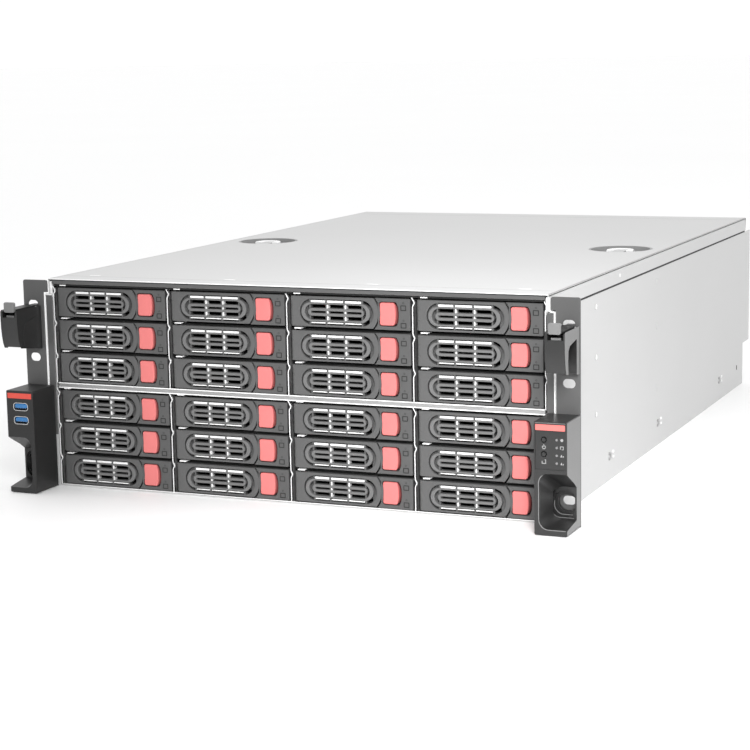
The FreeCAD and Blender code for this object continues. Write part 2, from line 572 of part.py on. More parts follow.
def front_modules():
    """Left module with two USB ports, right module with two keys and four lamps."""
    shell = module_shell()
    left = cut(shell, usb_hole("usb_upper"), usb_hole("usb_lower"))
    subpart("usb_module", mirror(left))
    subpart("usb_ports", mirror(usb_port("usb_upper")), mirror(usb_port("usb_lower")))

    front = "-module_front - past"
    tools = [block(("bar_inner", "bar_outer"), (front, "plate_deep - module_front"),
                   ("plate_low", "plate_top"))]
    keys = {"power_button": "power_z", "reset_button": "reset_z"}
    for z in keys.values():
        tools.append(rod("y", "key_hole_r", ("key_x", front, z), "shell + 2 * past"))
    lamps = [f"lamp_top_z - {place} * lamp_pitch" for place in range(LAMP_COUNT)]
    for z in lamps:
        tools.append(rod("y", "lamp_r", ("lamp_x", front, z), "shell + 2 * past"))
    subpart("control_module", cut(shell, *tools))

    for name, z in keys.items():
        cap = rod("y", "key_r", ("key_x", "-module_front - key_proud", z),
                  "shell + key_proud + key_flange_thick")
        flange = rod("y", "key_flange_r", ("key_x", "shell - module_front + key_flange_gap", z),
                     "key_flange_thick")
        subpart(name, fuse(cap, flange))

    bar = block(("bar_inner", "bar_outer"), ("-module_front", "bar_deep - module_front"),
                ("bar_low", "bar_top"))
    lenses = [rod("y", "lamp_r", ("lamp_x", "plate_deep - module_front - lamp_proud", z), "shell")
              for z in lamps]
    subpart("indicator_lenses", bar, mirror(bar), *lenses)


# ---------------------------------------------------------------- rack latches

def latch_body():
    """Grip block on the ear: a finger space open outwards and below, and a channel for the tab."""
    body = block(("latch_inner", "latch_outer"), ("-latch_front", "0"), ("latch_low", "latch_top"))
    grip = block(("grip_inner", "latch_outer + past"), ("-grip_front", "-grip_back"),
                 ("latch_low - past", "grip_top"))
    channel = block(("channel_in", "channel_out"), ("-latch_front - past", "past"),
                    ("channel_floor", "latch_top + past"))
    pin = rod("x", "latch_pin_r", ("channel_in - past", "-latch_pin_y", "latch_pin_z"),
              "channel_out - channel_in + 2 * past")
    return fuse(cut(body, grip, channel), pin)


def latch_tab():
    """Thumb tab, rocker arm on the pin, and a hook that reaches back through the rack slot."""
    x_span = ("tab_in", "tab_out")
    tab = block(x_span, ("-latch_front", "tab_thick - latch_front"), ("arm_low", "tab_top"))
    arm_span = ("arm_low", "arm_low + arm_thick")
    arm = block(x_span, ("-latch_front", "-arm_back"), arm_span)
    boss = rod("x", "boss_r", ("tab_in", "-latch_pin_y", "latch_pin_z"), "tab_out - tab_in")
    bore = rod("x", "latch_pin_bore", ("tab_in - past", "-latch_pin_y", "latch_pin_z"), "through")
    hook_span = ("rack_slot_x - hook_half", "rack_slot_x + hook_half")
    neck = block(hook_span, ("-arm_back - past", "hook_reach"), arm_span)
    barb = block(hook_span, ("hook_reach - hook_thick", "hook_reach"),
                 ("arm_low - hook_drop", "arm_low + arm_thick"))
    return cut(fuse(tab, arm, boss, neck, barb), bore)


def rack_latches():
    """A latch block and its tab above each module."""
    body, tab = latch_body(), latch_tab()
    subpart("latch_bodies", body, mirror(body))
    subpart("latch_tab_right", tab)
    subpart("latch_tab_left", mirror(tab))


# ---------------------------------------------------------------- small hardware

def fasteners():
    """Slide-rail studs on both walls and the posts that carry the main board."""
    pieces = []
    for y in ("stud_front", "stud_mid", "stud_rear"):
        stud = rod("x", "stud_r", ("wall_half", y, "stud_z"), "stud_head")
        pieces += [stud, mirror(stud)]
    for across in range(POSTS_EACH_WAY):
        for along in range(POSTS_EACH_WAY):
            x, y = f"io_left + {across} * post_across", f"rear_y - post_inset - {along} * post_along"
            pieces.append(rod("z", "post_r", (x, y, "sheet"), "post_tall"))
    subpart("fasteners", *pieces)


# ---------------------------------------------------------------- assembly and export

base_pan()
rear_panel()
slot_covers()
front_beam()
drive_cage("drive_cage_upper", 1)
drive_cage("drive_cage_lower", 1 + ROWS_PER_CAGE)
backplane()
fan_wall()
fan_housings()
for fan_side in FAN_PLACES:
    fan_rotor(fan_side)
rack_ears()
front_modules()
rack_latches()
fasteners()
top_cover()
cover_cups()
for cover_side in SIDES:
    cover_latch(cover_side)
drive_trays()
doc.recompute()

for item in doc.Objects:
    if "Invalid" in item.State or "Error" in item.State:
        raise RuntimeError(f"{item.Name} ({item.Label}) did not recompute: {item.State}")

os.makedirs("parts", exist_ok=True)
for group in subparts:
    if group.Shape.isNull() or not group.Shape.isValid() or not group.Shape.Solids:
        raise RuntimeError(f"{group.Label} has no valid solid")
    group.Shape.exportStep(f"parts/{group.Label}.step")
    print(f"{group.Label}: {len(group.Shape.Solids)} solid(s), {group.Shape.Volume / 1000:.1f} cm3")
print(f"{len(subparts)} sub-parts")
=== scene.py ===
"""Looks of the rack storage enclosure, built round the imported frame.

Lengths are millimetres in the outlines below, and become metres where the solids' points are made.
Every piece rides on the body that carries it. Depth is +Y: the front of the object is at low Y.
"""
import math
import bmesh
import bpy
from mathutils import Matrix, Vector


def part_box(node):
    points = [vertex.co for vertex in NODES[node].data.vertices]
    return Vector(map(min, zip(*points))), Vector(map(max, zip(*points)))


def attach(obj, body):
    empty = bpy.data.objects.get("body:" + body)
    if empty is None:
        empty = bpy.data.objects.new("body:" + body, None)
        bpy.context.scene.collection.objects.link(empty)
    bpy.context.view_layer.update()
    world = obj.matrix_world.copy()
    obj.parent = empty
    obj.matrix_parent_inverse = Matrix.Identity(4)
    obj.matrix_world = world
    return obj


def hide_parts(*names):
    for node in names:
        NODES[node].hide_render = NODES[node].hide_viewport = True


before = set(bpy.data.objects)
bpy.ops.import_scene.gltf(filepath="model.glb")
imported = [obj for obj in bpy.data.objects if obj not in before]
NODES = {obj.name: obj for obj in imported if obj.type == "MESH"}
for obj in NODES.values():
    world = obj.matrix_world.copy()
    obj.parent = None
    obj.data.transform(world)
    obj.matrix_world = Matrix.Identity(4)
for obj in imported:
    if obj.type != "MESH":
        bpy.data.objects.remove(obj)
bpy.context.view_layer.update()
MM = 0.001
COLUMNS = "abcd"
ROWS = range(1, 7)                       # from the top
CAGES = {"drive_cage_upper": ROWS[:3], "drive_cage_lower": ROWS[3:]}
SIDES = (-1, 1)                          # left and right of X = 0


# ---------------------------------------------------------------- materials

def node(tree, kind, **values):
    """A shader node with its input sockets set by name."""
    made = tree.nodes.new(kind)
    for name, value in values.items():
        made.inputs[name.replace("_", " ")].default_value = value
    return made


def noise(tree, source, scale, detail, stretch):
    """A noise pattern over the object's own coordinates, in features per metre."""
    place = node(tree, "ShaderNodeMapping")
    place.inputs["Scale"].default_value = stretch
    pattern = node(tree, "ShaderNodeTexNoise", Scale=scale, Detail=detail)
    tree.links.new(source, place.inputs["Vector"])
    tree.links.new(place.outputs["Vector"], pattern.inputs["Vector"])
    return pattern.outputs["Fac"]


def surface(name, colour, shade, roughness, grain=1500, relief=0.02, metallic=0.0, cloud=7.0,
            stretch=(1, 1, 1), coat=0.0, specular=0.5):
    """A finish whose colour drifts between two tones, with uneven gloss and a fine grain.

    The grain and the cloud are in features per metre, and the relief is the grain's height.
    """
    made = bpy.data.materials.new(name)
    made.use_nodes = True
    tree = made.node_tree
    tree.nodes.clear()
    shader = node(tree, "ShaderNodeBsdfPrincipled", Metallic=metallic, Coat_Weight=coat,
                  Specular_IOR_Level=specular)
    out = node(tree, "ShaderNodeOutputMaterial")
    place = node(tree, "ShaderNodeTexCoord").outputs["Object"]
    drift = noise(tree, place, cloud, 4.0, stretch)
    fine = noise(tree, place, grain, 2.0, stretch)

    tones = node(tree, "ShaderNodeValToRGB")
    for stop, place_on_ramp, tone in zip(tones.color_ramp.elements, (0.34, 0.66), (shade, colour)):
        stop.position = place_on_ramp
        stop.color = (*tone, 1)
    gloss = node(tree, "ShaderNodeMapRange", From_Min=0.3, From_Max=0.7,
                 To_Min=roughness[0], To_Max=roughness[1])
    both = tree.nodes.new("ShaderNodeMath")
    both.operation = "MULTIPLY_ADD"
    both.inputs[1].default_value = 0.5
    half = tree.nodes.new("ShaderNodeMath")
    half.operation = "MULTIPLY"
    half.inputs[1].default_value = 0.5
    bump = node(tree, "ShaderNodeBump", Strength=1.0, Distance=relief * MM)

    link = tree.links.new
    link(drift, tones.inputs["Fac"])
    link(tones.outputs["Color"], shader.inputs["Base Color"])
    link(drift, half.inputs[0])
    link(fine, both.inputs[0])
    link(half.outputs["Value"], both.inputs[2])
    link(both.outputs["Value"], gloss.inputs["Value"])
    link(gloss.outputs["Result"], shader.inputs["Roughness"])
    link(fine, bump.inputs["Height"])
    link(bump.outputs["Normal"], shader.inputs["Normal"])
    link(shader.outputs["BSDF"], out.inputs["Surface"])
    return made


def grey(value):
    """A neutral colour."""
    return value, value, value


BODY_STEEL = surface("body_steel", grey(0.56), grey(0.535), (0.42, 0.55), grain=1400, relief=0.012,
                     metallic=0.1, cloud=5)
CAGE_STEEL = surface("cage_steel", grey(0.5), grey(0.4), (0.25, 0.4), grain=1100, relief=0.01,
                     metallic=0.7, cloud=30, stretch=(1, 1, 6))
# Near-white steel: painted highlights on lit edges, ridges, tabs and strips; on the flange's cut edge it
# also stands for the bare metal.
HIGHLIGHT_STEEL = surface("painted_highlight_steel", grey(0.94), grey(0.88), (0.2, 0.32), grain=1200, relief=0.006,
                       metallic=0.05, cloud=60)
SHADED_STEEL = surface("shaded_steel", grey(0.34), grey(0.3), (0.3, 0.45), grain=1200, relief=0.008,
                       metallic=0.2, cloud=40)
EAR_STEEL = surface("ear_steel", grey(0.1), grey(0.088), (0.4, 0.55), grain=1600, relief=0.03)
BEAM_STEEL = surface("beam_steel", grey(0.1), grey(0.09), (0.35, 0.5), grain=1600)
BLACK_PLASTIC = surface("black_plastic", grey(0.02), grey(0.016), (0.4, 0.52), relief=0.025)
MODULE_PLASTIC = surface("module_plastic", grey(0.02), grey(0.016), (0.28, 0.4), specular=0.6)
# Lighter plastic for the outward sides of the modules and grips: a painted sheen of the light that grazes
# them.
SIDE_SHEEN_PLASTIC = surface("side_painted_sheen", grey(0.12), grey(0.1), (0.28, 0.4), specular=0.8)
TRAY_PLASTIC = surface("tray_plastic", grey(0.095), grey(0.083), (0.36, 0.5), specular=0.4)
LEVER_PLASTIC = surface("lever_plastic", grey(0.105), grey(0.092), (0.32, 0.46), specular=0.4)
# Lighter plastic for the lever's raised oval rings: painted highlight on their rounded tops.
RING_HIGHLIGHT_PLASTIC = surface("ring_painted_highlight", grey(0.16), grey(0.135), (0.26, 0.38), relief=0.012, specular=0.4)
GREY_PLASTIC = surface("grey_plastic", grey(0.2), grey(0.17), (0.32, 0.45), grain=1300, relief=0.015)
# Near-black: painted shade in gaps, holes, recesses and behind parts.
GAP_SHADE = surface("painted_gap_shade", grey(0.012), grey(0.009), (0.6, 0.8), grain=900, relief=0.01)
RED_PLASTIC = surface("red_plastic", (0.7, 0.185, 0.18), (0.67, 0.175, 0.17), (0.34, 0.44), relief=0.012,
                      cloud=40)
RED_BAR = surface("red_bar", (0.74, 0.085, 0.06), (0.68, 0.07, 0.05), (0.25, 0.36), grain=900,
                  relief=0.006, cloud=40)
PINK_BAR = surface("pink_bar", (0.72, 0.17, 0.155), (0.69, 0.16, 0.145), (0.3, 0.4), grain=900,
                   relief=0.006, cloud=40)
USB_BLUE = surface("usb_blue", (0.04, 0.22, 0.52), (0.03, 0.16, 0.4), (0.22, 0.32), grain=900, relief=0.008)
PORT_METAL = surface("port_metal", grey(0.8), grey(0.7), (0.15, 0.25), grain=900, relief=0.004, metallic=0.9)
PRINT_WHITE = surface("print_white", grey(0.32), grey(0.28), (0.4, 0.5), grain=900, relief=0.004)
LENS = surface("lens", grey(0.17), grey(0.14), (0.1, 0.16), grain=500, relief=0.002, coat=0.5)
BOARD = surface("circuit_board", (0.03, 0.16, 0.07), (0.02, 0.12, 0.05), (0.25, 0.35), grain=700, cloud=90)
ZINC = surface("zinc_steel", grey(0.6), grey(0.56), (0.28, 0.36), grain=900, relief=0.01, metallic=0.7,
               cloud=30)
FLOOR = surface("floor_paper", grey(0.95), grey(0.94), (0.55, 0.65), grain=300, relief=0.01, cloud=1)


# ---------------------------------------------------------------- outlines, counter-clockwise

def arc(centre, radius, start, end, steps=10):
    """Points round a centre, from one angle to another in degrees."""
    points = []
    for step in range(steps + 1):
        angle = math.radians(start + (end - start) * step / steps)
        x, z = centre[0] + radius * math.cos(angle), centre[1] + radius * math.sin(angle)
        points.append(Vector((x, z)))
    return points


def stadium(left, right, half, middle=0.0):
    """A flat oval with half-round ends."""
    return arc((right - half, middle), half, -90, 90, 16) + arc((left + half, middle), half, 90, 270, 16)


def rounded(left, right, low, high, radius, steps=5):
    """A rectangle with round corners."""
    corners = ((right, low, -1, 1, -90), (right, high, -1, -1, 0), (left, high, 1, -1, 90),
               (left, low, 1, 1, 180))
    points = []
    for x, z, to_x, to_z, start in corners:
        points += arc((x + to_x * radius, z + to_z * radius), radius, start, start + 90, steps)
    return points


def circle(centre, radius, steps=32):
    return arc(centre, radius, 0, 360, steps)[:-1]


def polygon(*corners):
    return [Vector(corner) for corner in corners]


def inset(outline, distance):
    """The outline moved inwards; a negative distance moves it outwards."""
    moved = []
    for index, here in enumerate(outline):
        back = (here - outline[index - 1]).normalized()
        ahead = (outline[(index + 1) % len(outline)] - here).normalized()
        normals = Vector((-back.y, back.x)), Vector((-ahead.y, ahead.x))
        spread = max(0.35, 1 + normals[0].dot(normals[1]))
        moved.append(here + (normals[0] + normals[1]) * (distance / spread))
    return moved


def moved_to(place, outline):
    """The same outline with its origin at a place."""
    return [point + Vector(place) for point in outline]


def span(one, other):
    """Two ends in rising order."""
    return min(one, other), max(one, other)


def ribbon(line, width):
    """A strip of even width along an open line."""
    points = [Vector(point) for point in line]
    left, right = [], []
    for index, here in enumerate(points):
        back = (here - points[index - 1]).normalized() if index else None
        ahead = (points[index + 1] - here).normalized() if index + 1 < len(points) else None
        run = ((back or ahead) + (ahead or back)).normalized()
        normal = Vector((-run.y, run.x))
        half = width / 2 / max(0.5, abs(run.dot(ahead or back)))
        left.append(here + normal * half)
        right.append(here - normal * half)
    return right + left[::-1]


# ---------------------------------------------------------------- solids

PLANES = {"xz": (0, 2, 1), "yz": (1, 2, 0), "xy": (0, 1, 2)}
SMOOTH_ANGLE, BEND_ANGLE, FLAT_ANGLE = (math.radians(angle) for angle in (38, 35, 0.5))
SAME_POINT = 0.002                       # points this near to each other are one point


class Solids:
    """Collects closed solids in one mesh, each painted with one of its materials."""

    def __init__(self, *materials):
        self.bm = bmesh.new()
        self.materials = materials

    def ring(self, outline, depth, plane):
        """The outline's points at one depth."""
        points = []
        for point in outline:
            place = [0.0, 0.0, 0.0]
            for axis, length in zip(PLANES[plane], (point.x, point.y, depth)):
                place[axis] = length * MM
            points.append(self.bm.verts.new(place))
        return points

    def skin(self, rings):
        """Faces from each ring to the next."""
        faces = []
        for lower, upper in zip(rings, rings[1:]):
            for index in range(len(lower)):
                following = (index + 1) % len(lower)
                corners = (lower[index], lower[following], upper[following], upper[index])
                faces.append(self.bm.faces.new(corners))
        return faces

    def slab(self, outline, near, far, holes=(), edge=0.0, far_edge=0.0, plane="xz", paint=0, steps=3):
        """An outline between two depths, with rounded rims at the near and the far face."""
        sense = 1 if far > near else -1
        levels = []
        for rim, face, inward in ((far_edge, far, -sense), (edge, near, sense)):
            turns = [math.pi / 2 * step / steps for step in range(steps + 1)] if rim else [math.pi / 2]
            fillet = [(rim * (1 - math.cos(turn)), face + inward * rim * (1 - math.sin(turn)))
                      for turn in turns]
            levels += fillet[::-1] if face == far else fillet

        caps = ([], [])
        faces = []
        for points, growth in [(outline, 1)] + [(hole, -1) for hole in holes]:
            rings = [self.ring(inset(points, growth * retreat), depth, plane) for retreat, depth in levels]
            faces += self.skin(rings)
            for cap, ring in zip(caps, (rings[0], rings[-1])):
                cap.append(ring)
        for cap in caps:
            if holes:
                edges = [self.bm.edges.get((ring[index - 1], ring[index]))
                         for ring in cap for index in range(len(ring))]
                filled = bmesh.ops.triangle_fill(self.bm, use_beauty=True, use_dissolve=False, edges=edges)
                faces += [item for item in filled["geom"] if isinstance(item, bmesh.types.BMFace)]
            else:
                faces.append(self.bm.faces.new(cap[0]))
        for face in faces:
            face.material_index = paint

    def loft(self, levels):
        """A solid through outlines of equal counts in the XZ plane, each at its own depth."""
        rings = [self.ring(outline, depth, "xz") for outline, depth in levels]
        self.bm.faces.new(rings[0])
        self.bm.faces.new(rings[-1])
        self.skin(rings)

    def box(self, x_span, y_span, z_span, edge=0.2, paint=0):
        """A block with rounded edges."""
        (left, right), (low, high) = x_span, z_span
        outline = polygon((left, low), (right, low), (right, high), (left, high))
        self.slab(outline, *y_span, edge=edge, far_edge=edge, paint=paint, steps=2)

    def rod(self, plane, centre, radius, near, far, edge=0.2, paint=0, steps=32):
        """A round bar with rounded ends, across a plane."""
        self.slab(circle(centre, radius, steps), near, far, edge=edge, far_edge=edge, plane=plane,
                  paint=paint)

    def mesh(self, name):
        bmesh.ops.recalc_face_normals(self.bm, faces=self.bm.faces)
        made = bpy.data.meshes.new(name)
        self.bm.to_mesh(made)
        self.bm.free()
        finish_mesh(made, self.materials)
        return made


def mirrored(mesh):
    """The same mesh on the other side of X = 0."""
    other = mesh.copy()
    other.transform(Matrix.Scale(-1, 4, (1, 0, 0)))
    other.flip_normals()
    return other


MIRRORS = (("right", lambda mesh: mesh), ("left", mirrored))


def added(name, data):
    """A new object in the scene."""
    made = bpy.data.objects.new(name, data)
    bpy.context.scene.collection.objects.link(made)
    return made


def carved(name, base, cutters, materials, edge=0.3):
    """The base solid with every cutter taken out of it and its sharp edges rounded."""
    helpers = []
    for index, solids in enumerate([base] + cutters):
        helper_name = f"{name}_{index}"
        helpers.append(added(helper_name, solids.mesh(helper_name)))
    body = helpers[0]
    for cutter in helpers[1:]:
        hole = body.modifiers.new("hole", "BOOLEAN")
        hole.operation = "DIFFERENCE"
        hole.solver = "EXACT"
        hole.object = cutter
    rim = body.modifiers.new("rim", "BEVEL")
    rim.width = edge * MM
    rim.segments = 2
    rim.limit_method = "ANGLE"
    rim.angle_limit = SMOOTH_ANGLE
    rim.miter_outer = "MITER_ARC"
    bpy.context.view_layer.update()
    view = bpy.context.evaluated_depsgraph_get()
    mesh = bpy.data.meshes.new_from_object(body.evaluated_get(view))
    mesh.name = name
    mesh.materials.clear()
    finish_mesh(mesh, materials)
    for helper in helpers:
        bpy.data.objects.remove(helper)
    return mesh


def with_side_sheen(mesh, limit, slot):
    """The flat faces that look outwards, past the limit, take the lighter plastic in that slot: a painted
    sheen of the light that grazes them.
    """
    for face in mesh.polygons:
        if face.normal.x > 0.95 and face.center.x > limit * MM:
            face.material_index = slot
    return mesh


def finish_mesh(mesh, materials):
    """Smooth shading broken at sharp edges, and the mesh's materials."""
    for face in mesh.polygons:
        face.use_smooth = True
    mesh.set_sharp_from_angle(angle=SMOOTH_ANGLE)
    for material in materials:
        mesh.materials.append(material)


def piece(name, mesh, body, place=(0, 0, 0), replaces=()):
    """Puts a mesh in the scene as a piece that rides on a body."""
    made = added(name, mesh)
    made.location = place
    flat = made.modifiers.new("even_shading", "WEIGHTED_NORMAL")
    flat.keep_sharp = True
    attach(made, body)
    if replaces:
        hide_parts(*replaces)


def rack_piece(name, mesh, body, replaces=()):
    """A piece whose mesh has Y = 0 on the ears' front face."""
    piece(name, mesh, body, (0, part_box("ear_right")[0].y, 0), replaces)


def softened(name, body, material, width):
    """Stands for a CAD node with the same shape and its sharp edges rounded."""
    source = NODES[name].data
    bm = bmesh.new()
    for vertex in source.vertices:
        bm.verts.new(vertex.co)
    bm.verts.ensure_lookup_table()
    for face in source.polygons:
        corners = [bm.verts[index] for index in face.vertices]
        if not bm.faces.get(corners):
            bm.faces.new(corners)
    bmesh.ops.remove_doubles(bm, verts=bm.verts, dist=SAME_POINT * MM)
    bmesh.ops.dissolve_limit(bm, angle_limit=FLAT_ANGLE, verts=bm.verts, edges=bm.edges)
    sharp = [edge for edge in bm.edges
             if len(edge.link_faces) == 2 and edge.calc_face_angle(0) > BEND_ANGLE]
    bmesh.ops.bevel(bm, geom=sharp, offset=width * MM, segments=2, profile=0.5, affect="EDGES",
                    clamp_overlap=True)
    bmesh.ops.recalc_face_normals(bm, faces=bm.faces)
    mesh = bpy.data.meshes.new(f"{name}_shell")
    bm.to_mesh(mesh)
    bm.free()
    finish_mesh(mesh, [material])
    piece(f"{name}_shell", mesh, body, replaces=[name])


def centre_of(node_name):
    """The middle of a node's box, in millimetres."""
    low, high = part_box(node_name)
    return (low + high) / 2 / MM


# ---------------------------------------------------------------- drive trays

FACE_HALF, FACE_UP, FACE_TOP = 51.8, 12.9, 12.0   # tray face; its top edge lies lower than the bezel's
FACE_RIGHT, FACE_DEEP = 51.3, 7.0        # the face steps back to the bezel at its right end
BEZEL_DEEP, TRAY_END = 16.0, 165.0
RAIL_IN, RAIL_OUT, RAIL_LOW, RAIL_TOP = 51.05, 52.65, -12.8, 0.2
PLATE_TOP, BEAD_TOP = -12.0, -11.2       # floor plate, and the beads pressed across it
BEADS = (40, 70, 100, 130)
LEVER_DEEP, LEVER_UP, LEVER_TOP = 6.6, 12.5, 11.7
ARC_X, ARC_R = 6.3, 18.4                 # free end of the lever
HINGE_X, HINGE_Y, BARREL_R = -47.6, 3.4, 3.3
PATTERN_Z = -0.8                         # middle height of the grille
GROOVE = (-42.2, 20.4, 10.1)             # flat ovals as left, right and half height
RING_OUT = (-41.0, 17.7, 7.5)
RING_IN = (-37.8, 14.3, 6.1)
CORE_OUT = (-35.3, 12.5, 3.1)
CORE_IN = (-32.6, 10.4, 0.85)
RIBS = (-33.6, -19.7, -4.5, 10.9)        # uprights between the air slots
RIB_HALF = 0.7
BAR_LAP = 0.4                            # how far an upright runs under the ovals
GROOVE_FLOOR, INNER_FLOOR = 3.4, 4.4     # depths of the dark floors between the ovals
BUTTON = (25.75, 39.0, 8.95)             # left, right, half height
BUTTON_Z = -0.5
LEFT_BOW_R = 300.0                       # nearly straight left side of the button
POCKET_RIGHT, POCKET_UP = 41.5, 9.5
LAMP_X, LAMP_WIDE, LAMP_TALL, LAMP_FRAME = 45.7, 2.35, 2.1, 0.65
LAMP_HEIGHTS = (4.7, -8.9)
SIGN_UP, SIGN_R, SIGN_HOLE_R = 3.9, 0.75, 0.45   # ring printed above each lamp window


def bowed(left_x, right_x, half, bulge, corner=1.8):
    """A button outline: its left side follows the lever's arc, its right side bulges a little."""
    points = []
    right_r = (half ** 2 + bulge ** 2) / (2 * bulge)
    reach = math.degrees(math.asin((half - corner) / right_r))
    points += arc((right_x - bulge - corner, -half + corner), corner, -90, -reach, 5)
    points += arc((right_x - right_r, 0), right_r, -reach, reach, 8)[1:-1]
    points += arc((right_x - bulge - corner, half - corner), corner, reach, 90, 5)
    reach = math.degrees(math.asin((half - corner) / LEFT_BOW_R))
    step_in = LEFT_BOW_R * (1 - math.cos(math.radians(reach)))
    points += arc((left_x - step_in + corner, half - corner), corner, 90, 175, 5)
    points += arc((left_x - LEFT_BOW_R, 0), LEFT_BOW_R, reach, -reach, 8)[1:-1]
    points += arc((left_x - step_in + corner, -half + corner), corner, 185, 270, 5)
    return points


def carrier_mesh():
    """Fixed frame at the right of the face, bezel, side rails and floor, with lamp windows and a near-black
    plate of painted shade deep in the button pocket.
    """
    parts = Solids(TRAY_PLASTIC, GAP_SHADE, BLACK_PLASTIC)
    radius, corner = ARC_R + 1.0, 1.0
    low, high = (math.degrees(math.asin(height / radius)) for height in (-FACE_UP, FACE_TOP))
    face = arc((ARC_X, 0), radius, high, low, 14)
    face += arc((FACE_RIGHT - corner, corner - FACE_UP), corner, -90, 0, 5)
    face += arc((FACE_RIGHT - corner, FACE_TOP - corner), corner, 0, 90, 5)
    pocket = moved_to((0, BUTTON_Z), bowed(BUTTON[0] - 0.5, POCKET_RIGHT, POCKET_UP, 1.3, 2.2))
    parts.slab(face, 0, FACE_DEEP, holes=[pocket], edge=0.8)
    window = rounded(-42, 18.5, -9.6, 9.6, 1.0)
    deep_pocket = rounded(BUTTON[0] - 0.4, POCKET_RIGHT, -POCKET_UP, POCKET_UP, 1.0)
    parts.slab(rounded(-FACE_HALF, FACE_HALF, -FACE_UP, FACE_UP, 0.8), FACE_DEEP, BEZEL_DEEP,
               holes=[window, deep_pocket], edge=0.3, paint=2)
    # Near-black plate behind the button: painted shade in the gap round it.
    parts.slab(rounded(22, 43, -10.5, 10.5, 0.5), 10.0, 10.6, paint=1)
    length = (BEZEL_DEEP, TRAY_END)
    for side in SIDES:
        parts.box(span(side * RAIL_OUT, side * RAIL_IN), length, (RAIL_LOW, RAIL_TOP), paint=2)
    plate = rounded(0.05 - RAIL_OUT, RAIL_OUT - 0.05, *length, 1)
    parts.slab(plate, RAIL_LOW, PLATE_TOP, plane="xy", paint=2)
    for y in BEADS:
        parts.box((-44, 44), (y, y + 4), (PLATE_TOP - 0.4, BEAD_TOP), edge=0.5, paint=2)
    knuckle_r, knuckle_up = 2.0, 3.7
    parts.rod("xy", (HINGE_X, HINGE_Y), knuckle_r, -knuckle_up, knuckle_up, paint=2)
    parts.box((HINGE_X - knuckle_r, HINGE_X + knuckle_r), (HINGE_Y, FACE_DEEP + 0.4),
              (-knuckle_up, knuckle_up), paint=2)
    for height in LAMP_HEIGHTS:
        pane, opening = (
            rounded(LAMP_X - LAMP_WIDE + border, LAMP_X + LAMP_WIDE - border, height - LAMP_TALL + border,
                    height + LAMP_TALL - border, radius) for border, radius in ((0, 0.5), (LAMP_FRAME, 0.2)))
        parts.slab(pane, -0.06, 0.5, holes=[opening], paint=1)
        sign = (LAMP_X, height + SIGN_UP)
        parts.slab(circle(sign, SIGN_R, 14), -0.04, 0.3, holes=[circle(sign, SIGN_HOLE_R, 14)], paint=2)
    return parts.mesh("tray_carrier")


